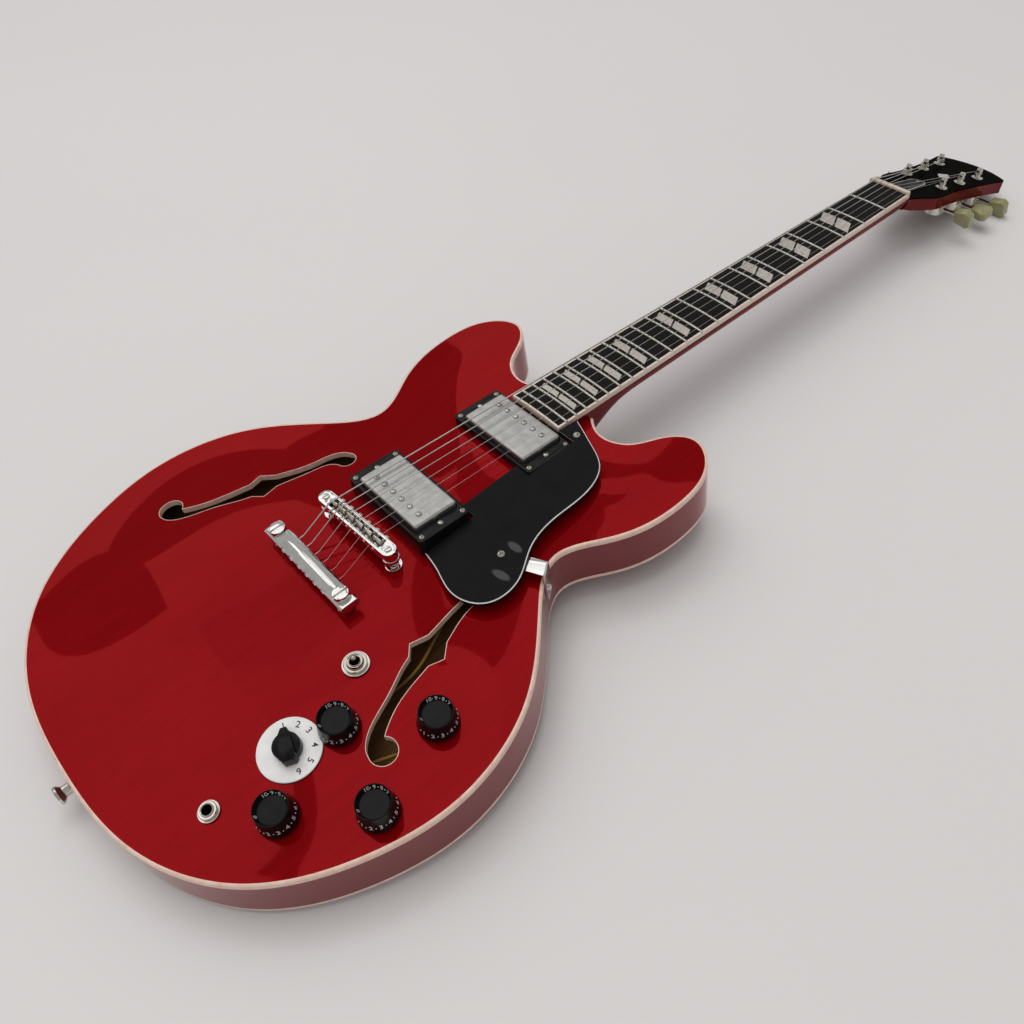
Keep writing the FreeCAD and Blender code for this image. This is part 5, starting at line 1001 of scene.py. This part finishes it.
pickguard = {"curve": [(30.5, 182.5), (57, 172.5), (79, 161), (90, 137), (91, 103), (98, 75), (113.5, 49),
                       (111.5, 22.5), (89, 10.7), (63, 16.2), (46.1, 19.3)],
             "steps": [(46.1, 65.6), (32, 65.6), (32, 118.5), (46.1, 118.5), (46.1, 164.8), (29, 164.8)],
             "levels": [(0.85, 64.0, 1), (0.15, 63.5, 0), (0.0, 63.0, 0), (0.0, 61.0, 0)]}


def addPlates():
    curve = splineThrough(pickguard["curve"], 3.0)
    loop = [tuple(p) for p in curve] + pickguard["steps"]
    shares = [1.0] * len(curve) + [0.0] * len(pickguard["steps"])
    shares[0] = shares[len(curve) - 1] = 0.5
    loop, shares = loop[::-1], shares[::-1]
    sheet = plyPlate("pickguardSheet", loop, shares, pickguard["levels"], Matrix(), [guard, edgeWhite])
    own(sheet, "guitar", "black_plastic", "pickguard")
    half, start, end = rodCover["half"], rodCover["start"], rodCover["end"]
    arc = [(half * math.cos(a), end - half + half * math.sin(a)) for a in np.linspace(0, math.pi, 25)]
    sides = [(half + rodCover["flare"] * (1 - s), start + (end - half - start) * s)
             for s in np.linspace(0, 0.95, 8)]
    loop = sides + arc + [(-x, y) for x, y in sides[::-1]]
    shares = [1.0] * len(loop)
    cover = plyPlate("rodCover", loop, shares, rodCover["levels"], headFrame, [partBlack, edgeWhite])
    own(cover, "guitar", "black_plastic", "truss_rod_cover")


addPlates()
print("plates cut")


nutBar = {"plan": (-20.5, 20.5, 628.75, 633.6), "low": -5.9, "high": 1.9, "rounding": 0.9}
toggleRings = {"metal": [(5.6, -10), (5.6, 0.7), (9.4, 0.7), (9.6, 0.9), (9.6, 1.4), (9.4, 1.6), (8.2, 1.6),
                         (8.2, 3.2), (7.7, 3.8), (7.1, 3.8), (6.9, 3.4), (6.2, 3.4), (5.7, 5.6), (5.4, 6.0),
                         (5.1, 6.0), (4.8, 5.3), (4.3, 5.2), (4.1, 5.7), (3.8, 5.8), (3.5, 5.4)],
               "hollow": [(3.5, 5.4), (2.5, -2.6)], "boxes": [((-10, 10, -6.5, 6.5), -30, -10)]}
jackRings = {"metal": [(9.5, -24), (9.5, -8), (4.8, -8), (4.8, 0.6), (7.2, 0.6), (7.4, 0.8), (7.4, 1.3),
                       (7.2, 1.5), (6.2, 1.5), (6.2, 3.0), (5.8, 3.5), (4.6, 3.5), (4.4, 4.2), (4.1, 4.4),
                       (3.6, 4.2)],
             "hollow": [(3.6, 4.2), (3.4, 2.6), (3.3, -22)], "boxes": []}


def addSockets():
    for name, rings, spot, node in (("toggleBody", toggleRings, "toggle", "toggle_switch"),
                                    ("jackSocket", jackRings, "jack", "output_jack")):
        parts = [turned(rings["metal"], 64), turned(rings["hollow"], 48, 1)]
        parts += [prism(rectangle(*plan), low, high) for plan, low, high in rings["boxes"]]
        piece = makePiece(name, parts, [nickel, partBlack], surfaceFrame(*controls[spot]), 30)
        own(piece, "guitar", "nickel", node)
    bar = prism(rectangle(*nutBar["plan"]), nutBar["low"], nutBar["high"])
    own(makePiece("boneNut", [bar], [bone], boardFrame, bevel=nutBar["rounding"]), "guitar", "bone", "nut")


addSockets()


# pieces whose form the part already has: smoothed, bevelled and dressed
def dressKeys():
    for k in range(1, 7):
        limit = (abs(tunerSpot(k - 1)[0]) + tuners["reach"]) * mm  # metal shaft inside it, button outside
        obj = smoothCopy(f"tuner_key_{k}", f"tunerKey{k}", button, f"key_{k}", "button_plastic", 30, 0.9)
        obj.data.materials.append(nickel)
        for polygon in obj.data.polygons:
            if abs(polygon.center.x) < limit:
                polygon.material_index = 1


heelEnd = {"depth": 4, "half": 45}


def dressHeelEnd():  # the block and plate edges that show beside the heel are lacquered like the rim
    block = smoothCopy("centre_block", "centreBlock", maple, "guitar", "maple", 30)
    block.data.materials.append(cherryRim)
    front = max(vertex.co.y for vertex in block.data.vertices) - heelEnd["depth"] * mm
    half = heelEnd["half"] * mm
    for name, slot in (("centreBlock", 1), ("archedTop", 0), ("archedBack", 0)):
        for polygon in bpy.data.objects[name].data.polygons:
            if polygon.center.y > front and abs(polygon.center.x) < half and polygon.normal.y > 0.5:
                polygon.material_index = slot


copies = [  # node, piece, material, slot, smoothing angle, bevel in mm
    ("neck", "carvedNeck", cherryNeck, "cherry_lacquer", 40, 0),
    ("fretboard", "fretboardSlab", boardWood, "fretboard_wood", 30, 0),
    ("fretboard_binding", "fretboardEdge", boardCream, "cream_binding", 40, 0.3),
    ("headstock_veneer", "headstockFace", headBlack, "black_lacquer", 30, 0),
    ("strings", "stringSet", strings, "string_wire", 60, 0),
    ("wiring", "hookUpLeads", leads, "wire_cover", 60, 0),
    ("bridge", "bridgeBar", chrome, "chrome", 30, 0.5),
    ("bridge_studs", "bridgeStuds", chrome, "chrome", 30, 0.25),
    ("tailpiece", "stopTailpiece", chrome, "chrome", 30, 0.6),
    ("tailpiece_studs", "tailpieceStuds", chrome, "chrome", 30, 0.35),
    ("pickup_covers", "pickupCovers", coverNickel, "nickel", 30, 0),
    ("pickup_rings", "pickupRings", ringBlack, "black_plastic", 30, 0.6),
    ("pickguard_bracket", "guardBracket", chrome, "chrome", 30, 0.3),
    ("saddle_screws", "saddleScrews", nickel, "chrome", 30, 0.15),
    ("tuner_frames", "tunerHousings", nickel, "nickel", 30, 0.5),
    ("strap_buttons", "strapButtons", nickel, "nickel", 30, 0.4),
]
for node, piece, material, slot, angle, bevel in copies:
    smoothCopy(node, piece, material, "guitar", slot, angle, bevel)
smoothCopy("toggle_lever", "toggleLever", nickel, "toggle", "nickel", 40)
smoothCopy("selector_knob", "selectorPointer", knobBlack, "selector", "black_plastic", 30, 1.0)
for k in range(1, 7):
    smoothCopy(f"saddle_{k}", f"saddle{k}", nickel, f"slider_{k}", "chrome", 30, 0.2)
    smoothCopy(f"tuner_post_{k}", f"tunerPost{k}", nickel, f"post_{k}", "nickel", 30, 0.5)
dressKeys()
dressHeelEnd()
for name, material in (("fret_inlays", pearl), ("truss_rod", steel), ("pickup_bobbins", partBlack),
                       ("pickup_bases", nickel), ("potentiometers", steel)):
    for slot in nodes[name].material_slots:
        slot.material = material
print("hardware dressed")


# floor under the back and the tuners, and soft studio light; in metres
stage = {"slope": -0.059, "touch": (-0.1458, -0.0003), "half": 6.0, "tones": ("D6D3D2", "D9D6D5"),
         "world": "F5F4F3", "worldStrength": 0.42}


def addStage():
    half, (middle, level) = stage["half"], stage["touch"]
    plan = rectangle(-half, half, -half, half)
    mesh = bpy.data.meshes.new("floor")
    mesh.from_pydata([(x, y, level + stage["slope"] * (y - middle)) for x, y in plan], [], [(0, 1, 2, 3)])
    mesh.materials.append(surface("paperFloor", stage["tones"], (900, even, 2.0), Roughness=0.85))
    newObject("floor", mesh)


def addWorld():
    scene.world = bpy.data.worlds.new("studio")
    scene.world.use_nodes = True
    background = scene.world.node_tree.nodes["Background"]
    background.inputs["Color"].default_value = hexColour(stage["world"])
    background.inputs["Strength"].default_value = stage["worldStrength"]


def addLight(name, spot, facing, wide, high, power, mirrored):
    data = bpy.data.lights.new(name, "AREA")
    data.shape = "RECTANGLE"
    data.size = wide
    data.size_y = high
    data.energy = power
    obj = newObject(name, data)
    obj.matrix_world = Matrix.Translation(spot) @ facing
    obj.visible_glossy = mirrored


# lamps that light the guitar without showing in its polish: place, side and power in watts
lamps = {"key": ((-0.6, 0.32, 4.5), 3.2, 88), "fill": ((1.9, -1.5, 4.2), 2.8, 34)}
# white walls that the lacquer mirrors: panels in one plane square to this direction from the body, each
# with its left, right, low and high end over the distance, and its brightness
panels = {"azimuth": 12.0, "height": 52.0, "far": 5.0,
          "spans": [("left", -0.46, -0.2, -0.13, 0.42, 0.85), ("low", -0.26, 0.1, -0.33, -0.13, 0.85),
                    ("lowMiddle", -0.2, 0.25, -0.13, -0.045, 0.85), ("band", -0.2, 0.25, -0.045, 0.05, 0.62),
                    ("middle", -0.2, 0.25, 0.05, 0.24, 0.75), ("high", -0.155, 0.5, 0.24, 0.45, 0.9),
                    ("lowRight", 0.27, 0.53, -0.33, -0.2, 0.85), ("right", 0.32, 0.47, -0.2, 0.2, 0.85)]}


def addLamps():
    for name, (spot, side, power) in lamps.items():
        facing = Vector(spot).to_track_quat("Z", "Y").to_matrix().to_4x4()
        addLight(name, spot, facing, side, side, power, False)


def addPanels():
    level, rise = ray(-panels["azimuth"]), math.radians(panels["height"])
    toward = Vector((-math.cos(rise) * level.x, -math.cos(rise) * level.y, math.sin(rise)))
    across = Vector((-level.y, level.x, 0))
    up = across.cross(toward)
    facing = Matrix((-across, up, toward)).transposed().to_4x4()
    far = panels["far"]
    for name, left, right, low, high, bright in panels["spans"]:
        wide, tall = (right - left) * far, (high - low) * far
        spot = (toward + across * (left + right) / 2 + up * (low + high) / 2) * far
        addLight(name, spot, facing, wide, tall, bright * math.pi * wide * tall, True)


addStage()
addWorld()
addLamps()
addPanels()
print("stage set")
